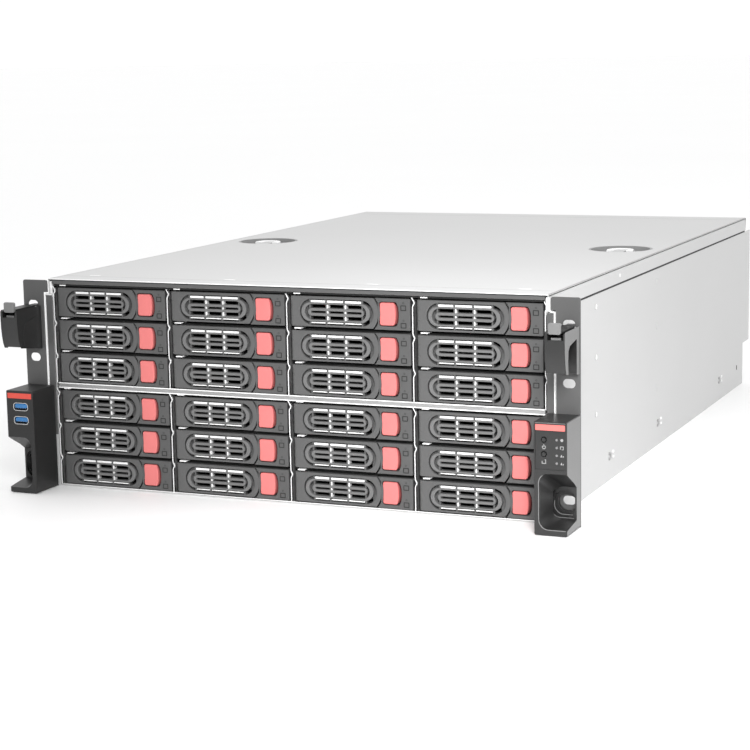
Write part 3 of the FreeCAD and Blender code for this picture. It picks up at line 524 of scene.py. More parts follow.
def lever_mesh():
    """Pull lever: a barrel on the hinge, a face plate with two oval rings and rows of air slots, with
    painted highlights on the rings, the middle ribs and in the slots.
    """
    parts = Solids(LEVER_PLASTIC, HIGHLIGHT_STEEL, RING_HIGHLIGHT_PLASTIC)
    low, high = (math.degrees(math.asin(height / ARC_R)) for height in (-LEVER_UP, LEVER_TOP))
    face = polygon((HINGE_X, -LEVER_UP)) + arc((ARC_X, 0), ARC_R, low, high, 18)
    face += polygon((HINGE_X, LEVER_TOP))
    parts.slab(face, 0, LEVER_DEEP, holes=[stadium(*GROOVE, PATTERN_Z)], edge=0.7, far_edge=0.3)
    room_up, room_r = 4.0, 2.45
    axis = (HINGE_X, BARREL_R)
    for low, high in ((-LEVER_UP, -room_up), (room_up, LEVER_TOP)):
        parts.rod("xy", axis, BARREL_R, low, high, edge=0.7)
    shell = arc(axis, BARREL_R, 180, 300) + arc(axis, room_r, 300, 180)
    parts.slab(shell, -room_up - 0.2, room_up + 0.2, plane="xy")
    for outer, inner, front in ((RING_OUT, RING_IN, -0.1), (CORE_OUT, CORE_IN, 0.1)):
        parts.slab(stadium(*outer, PATTERN_Z), front, LEVER_DEEP - 1, holes=[stadium(*inner, PATTERN_Z)],
                   edge=0.6, paint=2)
    groove, ring_out, ring_in, core_out, core_in = (
        oval[2] for oval in (GROOVE, RING_OUT, RING_IN, CORE_OUT, CORE_IN))
    gaps = ((ring_out, groove), (core_out, ring_in), (-core_in, core_in), (-ring_in, -core_out),
            (-groove, -ring_out))
    for x in RIBS:
        for low, high in gaps:
            heights = (low - BAR_LAP + PATTERN_Z, high + BAR_LAP + PATTERN_Z)
            parts.box((x - RIB_HALF, x + RIB_HALF), (0.9, LEVER_DEEP - 1), heights, edge=0.2)
            # A near-white strip on the right side of each middle rib in the inner rows: painted highlight of
            # its lit side.
            if x in RIBS[1:-1] and max(-low, high) < ring_out:
                lit = x + RIB_HALF
                parts.box((lit - 0.1, lit + 1.0), (0.7, LEVER_DEEP - 1), heights, edge=0.15, paint=1)
    for outer, inner, depth, past_ribs in ((GROOVE, RING_OUT, GROOVE_FLOOR, 5.2),
                                           (RING_IN, CORE_OUT, INNER_FLOOR, 2.0)):
        for sense in SIDES:
            end, limit, turn = (1, RIBS[-1] + past_ribs, -90) if sense > 0 else (0, -RIBS[0], 90)
            outside = arc((outer[end] - sense * outer[2], PATTERN_Z), outer[2], turn, turn + 180, 14)
            inside = arc((inner[end] - sense * inner[2], PATTERN_Z), inner[2], turn + 180, turn, 14)
            trimmed = [Vector((sense * max(point.x * sense, limit), point.y)) for point in outside + inside]
            parts.slab(trimmed, depth, LEVER_DEEP - 0.8)
    top, bottom = ring_out + PATTERN_Z, -groove + PATTERN_Z
    # Near-white strips at the top and bottom of the outer slots: painted highlight of the light seen in
    # them.
    for left, right in zip(RIBS, RIBS[1:]):
        between = (left + RIB_HALF + 0.2, right - RIB_HALF - 0.2)
        parts.box(between, (0.6, 3.0), (top + 0.1, top + 1.75), edge=0.15, paint=1)
        parts.box(between, (0.7, 3.0), (bottom + 1.2, bottom + 2.05), edge=0.15, paint=1)
    return parts.mesh("tray_lever")


def button_mesh():
    """Release button with a soft crown."""
    parts = Solids(RED_PLASTIC)
    parts.slab(moved_to((0, BUTTON_Z), bowed(*BUTTON, 0.9)), 0, FACE_DEEP, edge=1.1, steps=4)
    return parts.mesh("tray_button")


def pin_mesh():
    """Hinge pin."""
    parts = Solids(ZINC)
    parts.rod("xy", (HINGE_X, HINGE_Y), 1.0, -12.1, 12.1, edge=0.25, steps=20)
    return parts.mesh("tray_pin")


def drive_trays():
    """Four pieces for each tray; on the top row the lever and the button have bodies of their own."""
    carrier, lever, button, pin = carrier_mesh(), lever_mesh(), button_mesh(), pin_mesh()
    for column in COLUMNS:
        for row in ROWS:
            tail = f"{column}{row}"
            name = f"tray_{tail}"
            low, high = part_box(name)
            place = ((low.x + high.x) / 2, low.y, (low.z + high.z) / 2)
            piece(f"carrier_{tail}", carrier, name, place, [name])
            piece(f"pin_{tail}", pin, name, place)
            for part, mesh, slot in (("lever", lever, "tray_plastic"), ("button", button, "red_plastic")):
                own = f"tray_{part}_{tail}"
                rider = own if own in NODES else name
                piece(f"{part}_{tail}", mesh, rider, place, [own] if own in NODES else [])


# ---------------------------------------------------------------- drive cages

BAY_ABOVE = 13.7                         # from a tray's middle to the top of its bay
WAVE = ((0, 8.2), (0.3, 6.9), (1.3, 5.1), (1.3, 4.3), (0.3, 2.4))   # across, down from the bay's top
LAST_UPRIGHT_IN = 0.35                   # the right-hand upright stands a little nearer to the trays


def cage_trim():
    """Wavy front edges between the trays, a tab over each tray and the sheet rims, near-white as painted
    highlights, with darker and near-black strips of painted shade beside the uprights, between the cages and
    under the top.
    """
    edges = Solids(HIGHLIGHT_STEEL, GAP_SHADE)
    tabs = Solids(HIGHLIGHT_STEEL)
    first = centre_of("tray_a1").x
    pitch = (centre_of("tray_d1").x - first) / (len(COLUMNS) - 1)
    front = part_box("drive_cage_upper")[0].y / MM
    for cage, rows in CAGES.items():
        low, high = (corner.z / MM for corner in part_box(cage))
        for upright in range(len(COLUMNS) + 1):
            x = first + (upright - 0.5) * pitch - (LAST_UPRIGHT_IN if upright == len(COLUMNS) else 0)
            line = [(x, low + 0.6)]
            for row in reversed(rows):
                top = centre_of(f"tray_a{row}").z + BAY_ABOVE
                line += [(x + across, top - down) for across, down in WAVE]
                if row != rows[0]:
                    line.append((x, top - 0.8))
            line.append((x - 1.0, high - 0.8))
            # The wavy edge is near-white: painted highlight along the upright's front edge.
            edges.slab(ribbon(line, 0.62), front - 0.8, front + 0.5, edge=0.15)
            # Near-black strip behind each upright: painted shade between the trays.
            edges.box((x - 0.4, x + 0.7), (front - 0.1, front + 1.2), (low + 0.4, high - 0.4), edge=0.1,
                      paint=1)
        for row in rows:
            for column in COLUMNS:
                centre = centre_of(f"tray_{column}{row}")
                # Near-white tab: painted highlight on the cage's catch tab.
                tabs.box((centre.x - 46.5, centre.x - 40.8), (front - 1.9, front + 9),
                         (centre.z + 13.25, centre.z + 14.1), edge=0.15)
    piece("cage_front_edge_highlights", edges.mesh("cage_front_edge_highlights"), "chassis")
    piece("cage_catch_tabs", tabs.mesh("cage_catch_tabs"), "chassis")

    rim = Solids(HIGHLIGHT_STEEL, SHADED_STEEL, GAP_SHADE)
    upper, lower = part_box("drive_cage_upper"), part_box("drive_cage_lower")
    half = upper[1].x / MM - 1.5
    top, joint_top, joint_low, bottom = (corner.z / MM for corner in upper[::-1] + lower[::-1])
    # Near-white rims are painted highlights on the sheet edges; the darker and near-black strips are painted
    # shade between the cages and under the beam.
    for depths, heights, edge, paint in (
            ((-0.6, 12), (joint_top - 0.1, joint_top + 0.8), 0.2, 0),
            ((-0.6, 12), (joint_low - 0.8, joint_low + 0.1), 0.2, 0),
            ((0.2, 11), (joint_low + 0.1, joint_top - 0.1), 0.2, 1),
            ((-0.6, 2), (bottom + 0.1, bottom + 0.8), 0.15, 0),
            ((-1.2, 6), (top - 1.3, top + 0.3), 0.2, 2),
            ((-2.2, -0.6), (top + 0.3, top + 0.75), 0.1, 1)):
        rim.box((-half, half), (front + depths[0], front + depths[1]), heights, edge, paint)
    piece("cage_rim_highlights_and_shade", rim.mesh("cage_rim_highlights_and_shade"), "chassis")


# ---------------------------------------------------------------- flanges, cover and walls

FLANGE_IN, FLANGE_OUT, FLANGE_LOW, FLANGE_TOP = 214.9, 220.6, 44.0, 161.3
EDGE_X, EDGE_TURN, LIP_X, LIP_TOP = 221.0, 162.4, 217.0, 173.0
COVER_HALF, COVER_TOP, COVER_END, WALL_HALF = 216.75, 175.5, 668.8, 216.0
MODULE_TOP = 86.1
CUP_PLACE = (177.0, 333.0)
PAD_R, PAD_LOW, PAD_TOP = 12.0, 173.0, 175.0
MARK_X, MARK_Y = (-189, -63, 63, 189), 29   # pressed marks near the cover's front
BEND_Y = (22.0, 640.0)                   # cross bends of the cover
STUD_Y, STUD_Z = (168.4, 322.8, 562.0), 20.5
LOBES = ((-5.5, 2.2), (-5.5, -2.2), (5.5, 2.2), (5.5, -2.2))
LANCE_Y, LANCE_Z = 125.4, (150.4, 109.5, 62.8)
DIMPLES = ((315, 148.5, 3.2), (315, 109, 3.2), (315, 53.5, 3.2), (104, 25.5, 1.8))   # Y, Z, radius
REAR_HOLE, LIP_SCREW = (637, 20.8), (192, 168.3)
POST_X, POST_Y, POST_PITCH = 42, 645.6, (75, -124)   # first board post, and the steps to the others


def flanges():
    """Painted front flanges beside the ears, with a near-white edge that runs up to the cover: the bare cut
    edge, lightened further as a painted highlight.
    """
    faces = Solids(BEAM_STEEL)
    faces.box((FLANGE_IN, FLANGE_OUT), (1.5, 2.6), (FLANGE_LOW, FLANGE_TOP), edge=0.25)
    face = faces.mesh("flange_face")
    edges = Solids(HIGHLIGHT_STEEL)
    line = [(EDGE_X, MODULE_TOP - 2), (EDGE_X, EDGE_TURN - 2)]
    line += arc((EDGE_X - 1.2, EDGE_TURN - 1.2), 1.2, 0, 90, 4)
    line += [(LIP_X + 1.0, EDGE_TURN), (LIP_X, EDGE_TURN + 1.2), (LIP_X, LIP_TOP)]
    edges.slab(ribbon(line, 0.8), 0.9, 2.6, edge=0.2)
    edges.box((LIP_X - 2.6, LIP_X - 0.2), (1.2, 2.6), (EDGE_TURN + 0.4, LIP_TOP), edge=0.2)
    edge = edges.mesh("flange_edge")
    for side, shape in MIRRORS:
        rack_piece(f"flange_face_{side}", shape(face), "chassis")
        rack_piece(f"flange_edge_{side}", shape(edge), "chassis")


def cover_details():
    """Front rim with a painted highlight and a painted shade line under it, pressed marks in painted
    highlight, painted shade along the bends and top edges, and near-black painted shade in the seams round
    the cover.
    """
    rim = Solids(HIGHLIGHT_STEEL, GAP_SHADE)
    # Near-white strip along the front edge: painted highlight; the near-black strip under it is painted
    # shade.
    rim.box((-COVER_HALF + 0.3, COVER_HALF - 0.3), (0.25, 1.2), (COVER_TOP - 0.75, COVER_TOP + 0.02),
            edge=0.25)
    rim.box((-COVER_HALF + 0.4, COVER_HALF - 0.4), (0.35, 1.2), (COVER_TOP - 1.35, COVER_TOP - 0.7),
            edge=0.1, paint=1)
    rack_piece("cover_front_highlight_and_shade", rim.mesh("cover_front_highlight_and_shade"), "cover")
    marks = Solids(HIGHLIGHT_STEEL, SHADED_STEEL)
    # The pressed marks are near-white: painted highlight.
    for x in MARK_X:
        marks.slab(moved_to((x, MARK_Y), stadium(-5, 5, 0.9)), COVER_TOP - 0.3, COVER_TOP + 0.12,
                   far_edge=0.1, plane="xy")
    # Darker lines along the cross bends: painted shade.
    for y in BEND_Y:
        marks.box((-COVER_HALF + 2, COVER_HALF - 2), (y, y + 0.5), (COVER_TOP - 0.3, COVER_TOP + 0.05),
                  edge=0.04, paint=1)
    # Darker strips along the cover's top side edges: painted shade.
    for side in SIDES:
        marks.box(span(side * (COVER_HALF - 1.1), side * (COVER_HALF + 0.02)), (0.6, COVER_END),
                  (COVER_TOP - 1.0, COVER_TOP + 0.02), edge=0.3, paint=1)
    rack_piece("cover_mark_highlights_and_shade", marks.mesh("cover_mark_highlights_and_shade"), "cover")
    seams = Solids(GAP_SHADE)
    # Near-black strips under the cover's side flanges: painted shade in the gap over the walls.
    for side in SIDES:
        seams.box(span(side * (WALL_HALF - 1.2), side * (WALL_HALF + 0.15)), (3.5, COVER_END - 0.8),
                  (160.5, EDGE_TURN), edge=0.1)
    rack_piece("wall_seam_shade", seams.mesh("wall_seam_shade"), "chassis")


def cover_pads():
    """Horseshoe pads in the grip cups, each with a flat tongue and a stem; the horseshoe's near-white steel
    is a painted highlight.
    """
    pads = Solids(HIGHLIGHT_STEEL, CAGE_STEEL, GREY_PLASTIC)
    shoe = polygon((PAD_R, -4), (PAD_R, -1)) + arc((0, 0), PAD_R, 5, 175, 16)
    shoe += polygon((-PAD_R, -1), (-PAD_R, -4), (-6, -4)) + arc((0, 3.2), 6.2, 180, 0, 12) + polygon((6, -4))
    tongue = rounded(-5.6, 5.6, -23, 7.0, 1.5)
    pads.slab(moved_to(CUP_PLACE, shoe), PAD_LOW, PAD_TOP, far_edge=0.9, plane="xy")
    pads.slab(moved_to(CUP_PLACE, tongue), PAD_LOW + 0.1, PAD_LOW + 1.1, far_edge=0.3, plane="xy", paint=1)
    pads.rod("xy", CUP_PLACE, 3.6, PAD_LOW - 6.4, PAD_LOW + 0.3, edge=0.3, paint=2)
    pad = pads.mesh("cover_pad")
    for side, shape in MIRRORS:
        node_name = f"cover_latch_{side}"
        rack_piece(f"cover_pad_{side}", shape(pad), node_name, [node_name])


def wall_depths(side, inwards, outwards):
    """Depths a little inside and outside a wall's face."""
    return side * (WALL_HALF - inwards), side * (WALL_HALF + outwards)


def wall_details():
    """Lances, dimples, holes and four-lobed slide studs on both walls, and the board posts; the lobes and
    lances carry painted highlight and painted shade, and the rear hole is a near-black patch of painted
    shade.
    """
    studs = Solids(ZINC, HIGHLIGHT_STEEL, SHADED_STEEL)
    dents = Solids(BODY_STEEL, GAP_SHADE, SHADED_STEEL, HIGHLIGHT_STEEL)
    lobe = rounded(-1.7, 1.7, -1.2, 1.2, 1.1)
    lance, lance_shade = rounded(-0.8, 0.8, -1.9, 1.9, 0.7), rounded(-0.9, 0.9, -2.2, 2.2, 0.6)
    rear_hole = rounded(-1.6, 1.6, -2.6, 2.6, 1.5)
    for side in SIDES:
        for y in STUD_Y:
            studs.rod("yz", (y, STUD_Z), 2.2, *wall_depths(side, 0.4, 1.2), edge=0.4, steps=16)
            # Lobes behind each stud are near-white, those in front darker: painted highlight and painted
            # shade.
            for along, up in LOBES:
                studs.slab(moved_to((y + along, STUD_Z + up), lobe), *wall_depths(side, 0.4, 0.9),
                           far_edge=0.5, plane="yz", paint=1 if along > 0 else 2)
        for z in LANCE_Z:
            # Near-white raised lance with a darker patch just in front of it: painted highlight and painted
            # shadow.
            dents.slab(moved_to((LANCE_Y, z), lance), *wall_depths(side, 0.4, 0.8), far_edge=0.6,
                       plane="yz", paint=3)
            dents.slab(moved_to((LANCE_Y - 2, z), lance_shade), *wall_depths(side, 0.2, 0.06),
                       plane="yz", paint=2)
        for y, z, radius in DIMPLES:
            dents.rod("yz", (y, z), radius, *wall_depths(side, 0.4, 0.3), edge=0.25)
        # Near-black patch that stands for the rear hole: painted shade.
        dents.slab(moved_to(REAR_HOLE, rear_hole), *wall_depths(side, 0.2, 0.06), plane="yz", paint=1)
        dents.rod("yz", LIP_SCREW, 1.6, *wall_depths(side, -0.5, 0.95), edge=0.15, paint=3)
    for across in range(3):
        for along in range(3):
            place = (POST_X + POST_PITCH[0] * across, POST_Y + POST_PITCH[1] * along)
            studs.slab(circle(place, 3, 6), 1.0, 7.5, far_edge=0.4, plane="xy")
    rack_piece("wall_studs", studs.mesh("wall_studs"), "chassis", ["fasteners"])
    rack_piece("wall_dents", dents.mesh("wall_dents"), "chassis")


# ---------------------------------------------------------------- front modules and latches

MODULE_IN, MODULE_OUT, MODULE_LOW, MODULE_FRONT = 215.6, 241.3, 0.5, -33.3
SCOOP = ((218.9, 4.6, 47.3, -34.3, 7.5), (219.3, 4.7, 47.2, -33.3, 7.5), (220.6, 6.0, 42.5, -25.0, 7.5),
         (222.4, 7.2, 37.6, -16.0, 7.5), (224.4, 8.0, 33.1, -9.5, 7.0))
SCREW = (232.55, 20.3)                   # middle of the lowest rack slot
SLOT_HEIGHTS = (SCREW[1], 109.2, 153.65)
SEATS, SEAT_R = ((11.6, 11.2), (9.3, 9.2), (7.4, 7.4)), 7.2   # half sizes of the steps round the screw
BAR = (216.9, 239.9, 79.5, 84.1)
PANEL = (216.9, 239.9, 50.2, 78.6)
KEYS = {"power_button": 72.6, "reset_button": 61.8}
KEY_X, POWER_SIGN_Z, RESET_SIGN_Z = 223.5, 67.0, 56.2
LAMPS = (72.8, 66.95, 61.1, 55.25)
LAMP_PLACE, ICON_X = 233.3, 237.3
USB_X, USB_HEIGHTS = 227.5, (72.8, 61.5)


def plug(material, outline, near, far):
    """A plain solid that is taken out of another one."""
    solids = Solids(material)
    solids.slab(outline, near, far)
    return solids


def module_body(name, cutters, material):
    """Module box with a scoop, open outwards, and stepped seats round the rack screw; its outward side takes
    the lighter plastic of painted sheen.
    """
    base = Solids(material)
    base.slab(rounded(MODULE_IN, MODULE_OUT, MODULE_LOW, MODULE_TOP, 1.1), MODULE_FRONT, -0.05, edge=1.0,
              steps=4)
    scoop = Solids(material)
    scoop.loft([(rounded(left, MODULE_OUT + 9, low, high, radius, 7), depth)
                for left, low, high, depth, radius in SCOOP])
    seats = [plug(material, moved_to(SCREW, rounded(-wide, SEATS[-1][0], -tall, tall, SEAT_R, 8)), -12, far)
             for (wide, tall), far in zip(SEATS, (-7.2, -4.6, 1.0))]
    bar = plug(material, rounded(*BAR, 0.6), MODULE_FRONT - 1, MODULE_FRONT + 0.6)
    body = carved(name, base, [scoop] + seats + [bar] + cutters, [material, SIDE_SHEEN_PLASTIC], 0.45)
    return with_side_sheen(body, MODULE_OUT - 0.5, 1)


def module_rim_highlights():
    """Painted highlights: light lines along the module's top, the scoop and two of the seats."""
    rims = Solids(GREY_PLASTIC)
    left_in, low_in, high_in, depth_in, radius = SCOOP[1]
    turn = (left_in + radius, low_in + radius)
    line = [(MODULE_OUT - 1.2, low_in)] + arc(turn, radius, 270, 180, 8)
    line += arc((turn[0], high_in - radius), radius, 180, 125, 5)
    rims.slab(ribbon(line, 0.5), depth_in - 0.12, depth_in + 0.4, edge=0.1)
    for (wide, tall), depth in zip(SEATS, (-9.5, -7.2)):
        line = [(6.6, -tall)] + arc((SEAT_R - wide, SEAT_R - tall), SEAT_R, 270, 180, 7) + [(-wide, 1.0)]
        rims.slab(moved_to(SCREW, ribbon(line, 0.5)), depth - 0.15, depth + 0.4, edge=0.1)
    rims.box((MODULE_IN + 1.2, MODULE_OUT - 1.2), (MODULE_FRONT - 0.05, MODULE_FRONT + 0.6),
             (MODULE_TOP - 1.15, MODULE_TOP - 0.75), edge=0.1)
    return rims.mesh("module_rim_highlights")


def bar_mesh(material):
    """Accent bar that fills the groove under the module's top, with a fine gap round it."""
    left, right, low, high = BAR
    bar = Solids(material)
    bar.slab(rounded(left + 0.05, right - 0.05, low + 0.05, high - 0.05, 0.6), MODULE_FRONT - 0.05,
             MODULE_FRONT + 0.55, edge=0.25)
    return bar.mesh("accent_bar")


def icon_mesh():
    """Plain signs beside the keys and the lamps."""
    prints = Solids(PRINT_WHITE)
    near, far = MODULE_FRONT + 0.46, MODULE_FRONT + 0.7
    power = (KEY_X, POWER_SIGN_Z)
    signs = [arc(power, 1.5, 125, 415, 14) + arc(power, 1.0, 415, 125, 14),
             moved_to(power, ribbon([(0, 0.2), (0, 2.0)], 0.5))]
    bracket = [(0.5, 1.35), (1.4, 1.35), (1.4, -1.35), (-1.4, -1.35), (-1.4, 0.5)]
    signs.append(moved_to((KEY_X, RESET_SIGN_Z), ribbon(bracket, 0.5)))
    signs.append(circle((ICON_X, LAMPS[0]), 1.1, 20))
    square = [(-1.1, -1.1), (-1.1, 1.1), (1.1, 1.1), (1.1, -1.1), (-0.2, -1.1)]
    signs.append(moved_to((ICON_X, LAMPS[1]), ribbon(square, 0.45)))
    for z in LAMPS[2:]:
        for shape in (((-1.2, -0.9), (0.5, -0.9), (-0.35, 1.1)),
                      ((0.8, -0.9), (1.4, -0.9), (1.4, 0.1), (0.8, 0.1))):
            signs.append(moved_to((ICON_X, z), polygon(*shape)))
    for sign in signs:
        prints.slab(sign, near, far)
    return prints.mesh("panel_icons")


def control_side():
    """Right module: two keys, four lamps and an accent bar."""
    holes = [plug(MODULE_PLASTIC, rounded(*PANEL, 0.5), MODULE_FRONT - 1, MODULE_FRONT + 0.5)]
    holes += [plug(MODULE_PLASTIC, circle((KEY_X, z), 2.35, 28), MODULE_FRONT - 1, MODULE_FRONT + 4)
              for z in KEYS.values()]
    mesh = module_body("control_module_shell", holes, MODULE_PLASTIC)
    rack_piece("control_module_shell", mesh, "chassis", ["control_module"])
    rack_piece("accent_bar_right", bar_mesh(PINK_BAR), "chassis")
    lamps = Solids(LENS)
    for z in LAMPS:
        lamps.rod("xz", (LAMP_PLACE, z), 1.0, MODULE_FRONT + 0.25, MODULE_FRONT + 1.6, edge=0.3, steps=20)
    rack_piece("panel_lamps", lamps.mesh("panel_lamps"), "chassis", ["indicator_lenses"])
    for name, z in KEYS.items():
        key = Solids(MODULE_PLASTIC, GAP_SHADE)
        key.slab(circle((KEY_X, z), 1.65, 28), MODULE_FRONT - 0.3, MODULE_FRONT + 3.3, edge=0.4)
        # Near-black disc behind the cap: painted shade in the gap round the key.
        key.slab(circle((KEY_X, z), 2.9, 28), MODULE_FRONT + 2.05, MODULE_FRONT + 3.2, paint=1)
        rack_piece(f"{name}_cap", key.mesh(f"{name}_cap"), name, [name])
    rack_piece("panel_icons", icon_mesh(), "chassis")
    rack_piece("module_rims_right", module_rim_highlights(), "chassis")


def usb_side():
    """Left module: two ports with blue tongues, and an accent bar."""
    opening = rounded(-7.1, 7.1, -3.5, 3.5, 2.6)
    holes = [plug(BLACK_PLASTIC, moved_to((USB_X, z), opening), MODULE_FRONT - 1, MODULE_FRONT + 17)
             for z in USB_HEIGHTS]
    mesh = module_body("usb_module_shell", holes, BLACK_PLASTIC)
    rack_piece("usb_module_shell", mirrored(mesh), "chassis", ["usb_module"])
    rack_piece("accent_bar_left", mirrored(bar_mesh(RED_BAR)), "chassis")
    ports = Solids(PORT_METAL, GAP_SHADE)
    tongues = Solids(USB_BLUE, PORT_METAL)
    for z in USB_HEIGHTS:
        sleeve = moved_to((USB_X, z), rounded(-7.0, 7.0, -3.4, 3.4, 2.5))
        tongue = moved_to((USB_X, z), rounded(-6.1, 6.1, -1.3, 2.5, 1.6))
        ports.slab(sleeve, MODULE_FRONT - 0.15, MODULE_FRONT + 16, holes=[inset(sleeve, 0.55)], edge=0.2)
        # Near-black plate at the back of each port: painted shade.
        ports.slab(inset(sleeve, 0.4), MODULE_FRONT + 15, MODULE_FRONT + 16, paint=1)
        tongues.slab(tongue, MODULE_FRONT + 0.4, MODULE_FRONT + 15.5, edge=0.9, steps=4)
        for place in (-3.6, -1.2, 1.2, 3.6):
            tongues.box((USB_X + place - 0.5, USB_X + place + 0.5), (MODULE_FRONT + 1.6, MODULE_FRONT + 9),
                        (z - 1.5, z - 1.2), edge=0.08, paint=1)
    rack_piece("port_sleeves", mirrored(ports.mesh("port_sleeves")), "chassis", ["usb_ports"])
    rack_piece("port_tongues", mirrored(tongues.mesh("port_tongues")), "chassis")


LATCH_IN, LATCH_OUT, LATCH_LOW, LATCH_TOP = 225.1, 240.8, 117.6, 152.0
BROW = ((-31.6, 122.1), (-33.2, 126.0), (-34.4, 131.5), (-35.1, 138.0), (-35.4, 145.0), (-35.4, 151.2),
        (-34.6, 152.0))                  # bowed front of the grip, from its foot up, as Y and Z
GRIP_LINE = ((-26.8, 121.6), (-7.0, 118.6), (-7.0, 144.3), (-23.6, 141.4), (-27.2, 138.4), (-27.8, 130.0))
PIVOT = (-3.6, LATCH_TOP)
TAB_LOW, TAB_TOP = 151.0, 159.4
ARM_LOW, ARM_TOP = 151.6, 153.4
HOOK = (229.55, 235.55)


def latch_block():
    """Grip with a bowed front, a finger space open at its outer side and a channel for the rocker arm; the
    finger space's walls are near-black painted shade and the outward side takes the lighter plastic of
    painted sheen.
    """
    base = Solids(MODULE_PLASTIC, GAP_SHADE)
    outline = polygon(*BROW, (-0.05, LATCH_TOP), (-0.05, LATCH_LOW))
    base.slab(outline, LATCH_IN, LATCH_OUT, edge=0.9, far_edge=0.9, plane="yz", steps=4)
    grip = Solids(MODULE_PLASTIC, GAP_SHADE)
    # The finger space's walls take this cutter's near-black painted shade.
    grip.slab(polygon((-26.8, 110.0), (-7.0, 110.0), *GRIP_LINE[2:]), LATCH_IN + 1.5, LATCH_OUT + 2,
              plane="yz", paint=1)
    channel = Solids(MODULE_PLASTIC)
    channel.box((227.3, 239.3), (-40, 2), (146.8, LATCH_TOP + 4), edge=0)
    body = carved("latch_body", base, [grip, channel], [MODULE_PLASTIC, GAP_SHADE, SIDE_SHEEN_PLASTIC], 0.3)
    return with_side_sheen(body, LATCH_OUT - 0.5, 2)


def latch_extras():
    """Raised panel, stop under the thumb tab, and the rocker arm's pin."""
    extras = Solids(GREY_PLASTIC, ZINC, MODULE_PLASTIC)
    extras.slab(polygon(*GRIP_LINE), LATCH_IN - 0.35, LATCH_IN + 0.5, edge=0.2, plane="yz", paint=2)
    extras.box((229.3, 236.9), (-33.4, -31.2), (146.2, 148.3), edge=0.3)
    extras.rod("yz", PIVOT, 0.75, 227.0, 239.1, edge=0.1, paint=1, steps=16)
    return extras.mesh("latch_inserts")


def thumb_tab():
    """Thumb tab with its rocker arm, the barrel on the pin and the hook behind the ear."""
    tab = Solids(GREY_PLASTIC, BLACK_PLASTIC)
    tab.slab(rounded(227.8, 237.6, TAB_LOW, TAB_TOP, 1.4), -36.1, -32.8, edge=0.8, far_edge=0.7, steps=4)
    arm = polygon((-34.0, ARM_LOW), (-0.4, ARM_LOW), (-0.4, ARM_TOP), (-31.4, ARM_TOP))
    arm += arc((-31.4, ARM_TOP + 2.6), 2.6, 270, 190, 6) + polygon((-34.0, 157.8))
    tab.slab(arm, 228.3, 237.8, edge=0.3, far_edge=0.3, plane="yz", paint=1)
    tab.rod("yz", PIVOT, 1.7, 227.9, 238.2, edge=0.2, paint=1, steps=20)
    tab.box(HOOK, (-1.4, 7.6), (ARM_LOW, ARM_TOP), edge=0.2, paint=1)
    tab.box(HOOK, (6.0, 7.6), (150.4, ARM_TOP), edge=0.3, paint=1)
    return tab.mesh("latch_thumb")


def latches():
    """A grip, its inserts and a thumb tab on each ear; the right grip stands for both CAD grips."""
    body, extra, thumb = latch_block(), latch_extras(), thumb_tab()
    for side, shape in MIRRORS:
        stands_for = ["latch_bodies"] if side == "right" else []
        rack_piece(f"latch_body_{side}", shape(body), "chassis", stands_for)
        rack_piece(f"latch_inserts_{side}", shape(extra), "chassis")
        node_name = f"latch_tab_{side}"
        rack_piece(f"latch_thumb_{side}", shape(thumb), node_name, [node_name])


EAR_OUT, EAR_THICK = 241.3, 2.0


def ear_mesh():
    """Steel ear with three rack slots, round top corners and a foot behind the module."""
    ear = Solids(EAR_STEEL)
    outline = polygon((216.8, 0.2), (EAR_OUT, 0.2)) + arc((EAR_OUT - 1.7, 172.3), 1.7, 0, 90, 5)
    outline += arc((220.0, 172.5), 1.5, 90, 180, 5)
    outline += polygon((218.5, 164.0), (222.6, 164.0), (222.6, 84.5), (216.8, 84.5))
    slots = [moved_to((SCREW[0], z), stadium(-5, 5, 3.5)) for z in SLOT_HEIGHTS]
    ear.slab(outline, 0, EAR_THICK, holes=slots, edge=0.25, far_edge=0.25)
    return ear.mesh("rack_ear")


def front_hardware():
    """Ears, modules and latches."""
    ear = ear_mesh()
    rack_piece("ear_plate_right", ear, "chassis", ["ear_right"])
    rack_piece("ear_plate_left", mirrored(ear), "chassis", ["ear_left"])
    control_side()
    usb_side()
    latches()


# ---------------------------------------------------------------- finishes of the CAD nodes that stay

KEPT = {
    "rear_panel": BODY_STEEL, "slot_covers": ZINC, "drive_cage_upper": CAGE_STEEL,
    "drive_cage_lower": CAGE_STEEL, "backplane": BOARD, "fan_wall": BODY_STEEL,
    "fan_housings": BLACK_PLASTIC, "cover_grip_cups": SHADED_STEEL, "fan_rotor_left": BLACK_PLASTIC,
    "fan_rotor_centre": BLACK_PLASTIC, "fan_rotor_right": BLACK_PLASTIC,
}


def kept_nodes():
    """Each kept node gets one finish all over."""
    for name, material in KEPT.items():
        mesh = NODES[name].data
        mesh.materials.clear()
        mesh.materials.append(material)


def shells():
    """Sheet metal and moulded shells with rounded edges."""
    softened("base_pan", "chassis", BODY_STEEL, 0.25)
    softened("top_cover", "cover", BODY_STEEL, 0.35)
    softened("front_beam", "chassis", BEAM_STEEL, 0.5)


# ---------------------------------------------------------------- camera, lights and floor

AZIMUTH, ELEVATION, ROLL = 23.158, 9.432, 1.105
CAMERA_PLACE = (0.664762, -1.705557, 0.357222)
LENS_MM, SENSOR_MM = 94.04, 36.0


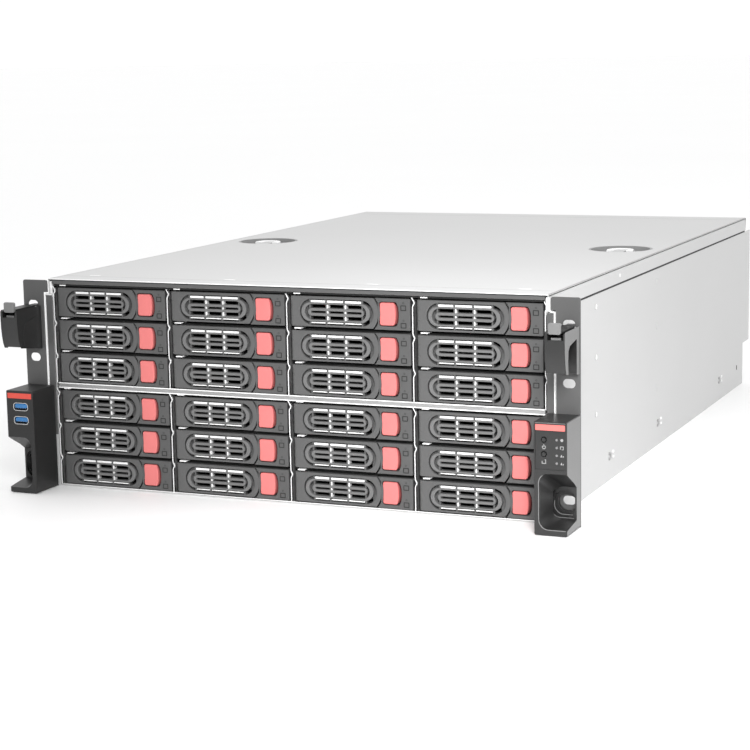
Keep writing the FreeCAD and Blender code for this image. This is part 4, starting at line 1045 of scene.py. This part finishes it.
def camera():
    """The viewing angle: turned to the object's right, looking down a little, rolled a degree."""
    azimuth, elevation, roll = (math.radians(angle) for angle in (AZIMUTH, ELEVATION, ROLL))
    forward = Vector((-math.sin(azimuth) * math.cos(elevation), math.cos(azimuth) * math.cos(elevation),
                      -math.sin(elevation)))
    level = forward.cross(Vector((0, 0, 1))).normalized()
    down = forward.cross(level)
    right = math.cos(roll) * level + math.sin(roll) * down
    up = right.cross(forward)
    data = bpy.data.cameras.new("camera")
    data.lens, data.sensor_width = LENS_MM, SENSOR_MM
    data.clip_start, data.clip_end = 0.05, 60
    made = added("camera", data)
    turned = Matrix((right, up, -forward)).transposed()
    made.matrix_world = Matrix.Translation(CAMERA_PLACE) @ turned.to_4x4()
    bpy.context.scene.camera = made


def softbox(name, place, target, size, power, spread, glossy):
    """A rectangular light that the camera doesn't see, aimed at a point; its spread is in degrees."""
    data = bpy.data.lights.new(name, "AREA")
    data.spread = math.radians(spread)
    data.shape = "RECTANGLE"
    data.size, data.size_y = size
    data.energy = power
    made = added(name, data)
    made.visible_camera = False
    made.visible_glossy = glossy
    made.location = place
    made.rotation_euler = (Vector(target) - Vector(place)).to_track_quat("-Z", "Y").to_euler()


def surroundings():
    """A white world that is darker towards the front."""
    world = bpy.data.worlds.new("studio")
    world.use_nodes = True
    tree = world.node_tree
    backdrop = tree.nodes["Background"]
    backdrop.inputs["Color"].default_value = (1, 1, 1, 1)
    towards = node(tree, "ShaderNodeSeparateXYZ")
    fade = node(tree, "ShaderNodeMapRange", From_Min=-0.75, From_Max=0.05, To_Min=0.5, To_Max=1.06)
    tree.links.new(node(tree, "ShaderNodeTexCoord").outputs["Generated"], towards.inputs["Vector"])
    tree.links.new(towards.outputs["Y"], fade.inputs["Value"])
    tree.links.new(fade.outputs["Result"], backdrop.inputs["Strength"])
    bpy.context.scene.world = world
    bpy.context.scene.view_settings.view_transform = "Standard"


def lights():
    """Soft light from above, from behind on the right, and a little from the front."""
    above = bpy.data.lights.new("top_light", "SUN")
    above.energy, above.angle = 0.43, math.radians(110)
    added("top_light", above)
    softbox("rear_right_light", (1.75, 2.9, 0.75), (0.24, -0.33, 0.1), (2.2, 1.3), 6, 180, True)
    softbox("front_light", (0.52, -1.15, 0.62), (0.17, -0.36, 0.09), (0.35, 0.35), 1.4, 50, False)


def floor():
    """A wide sheet of paper under the object."""
    reach = 60.0
    mesh = bpy.data.meshes.new("floor")
    corners = [(-reach, -reach, 0), (reach, -reach, 0), (reach, reach, 0), (-reach, reach, 0)]
    mesh.from_pydata(corners, [], [(0, 1, 2, 3)])
    mesh.materials.append(FLOOR)
    added("floor", mesh)


camera()
surroundings()
lights()
floor()
kept_nodes()
shells()
drive_trays()
cage_trim()
flanges()
cover_details()
cover_pads()
wall_details()
front_hardware()

bpy.context.view_layer.update()
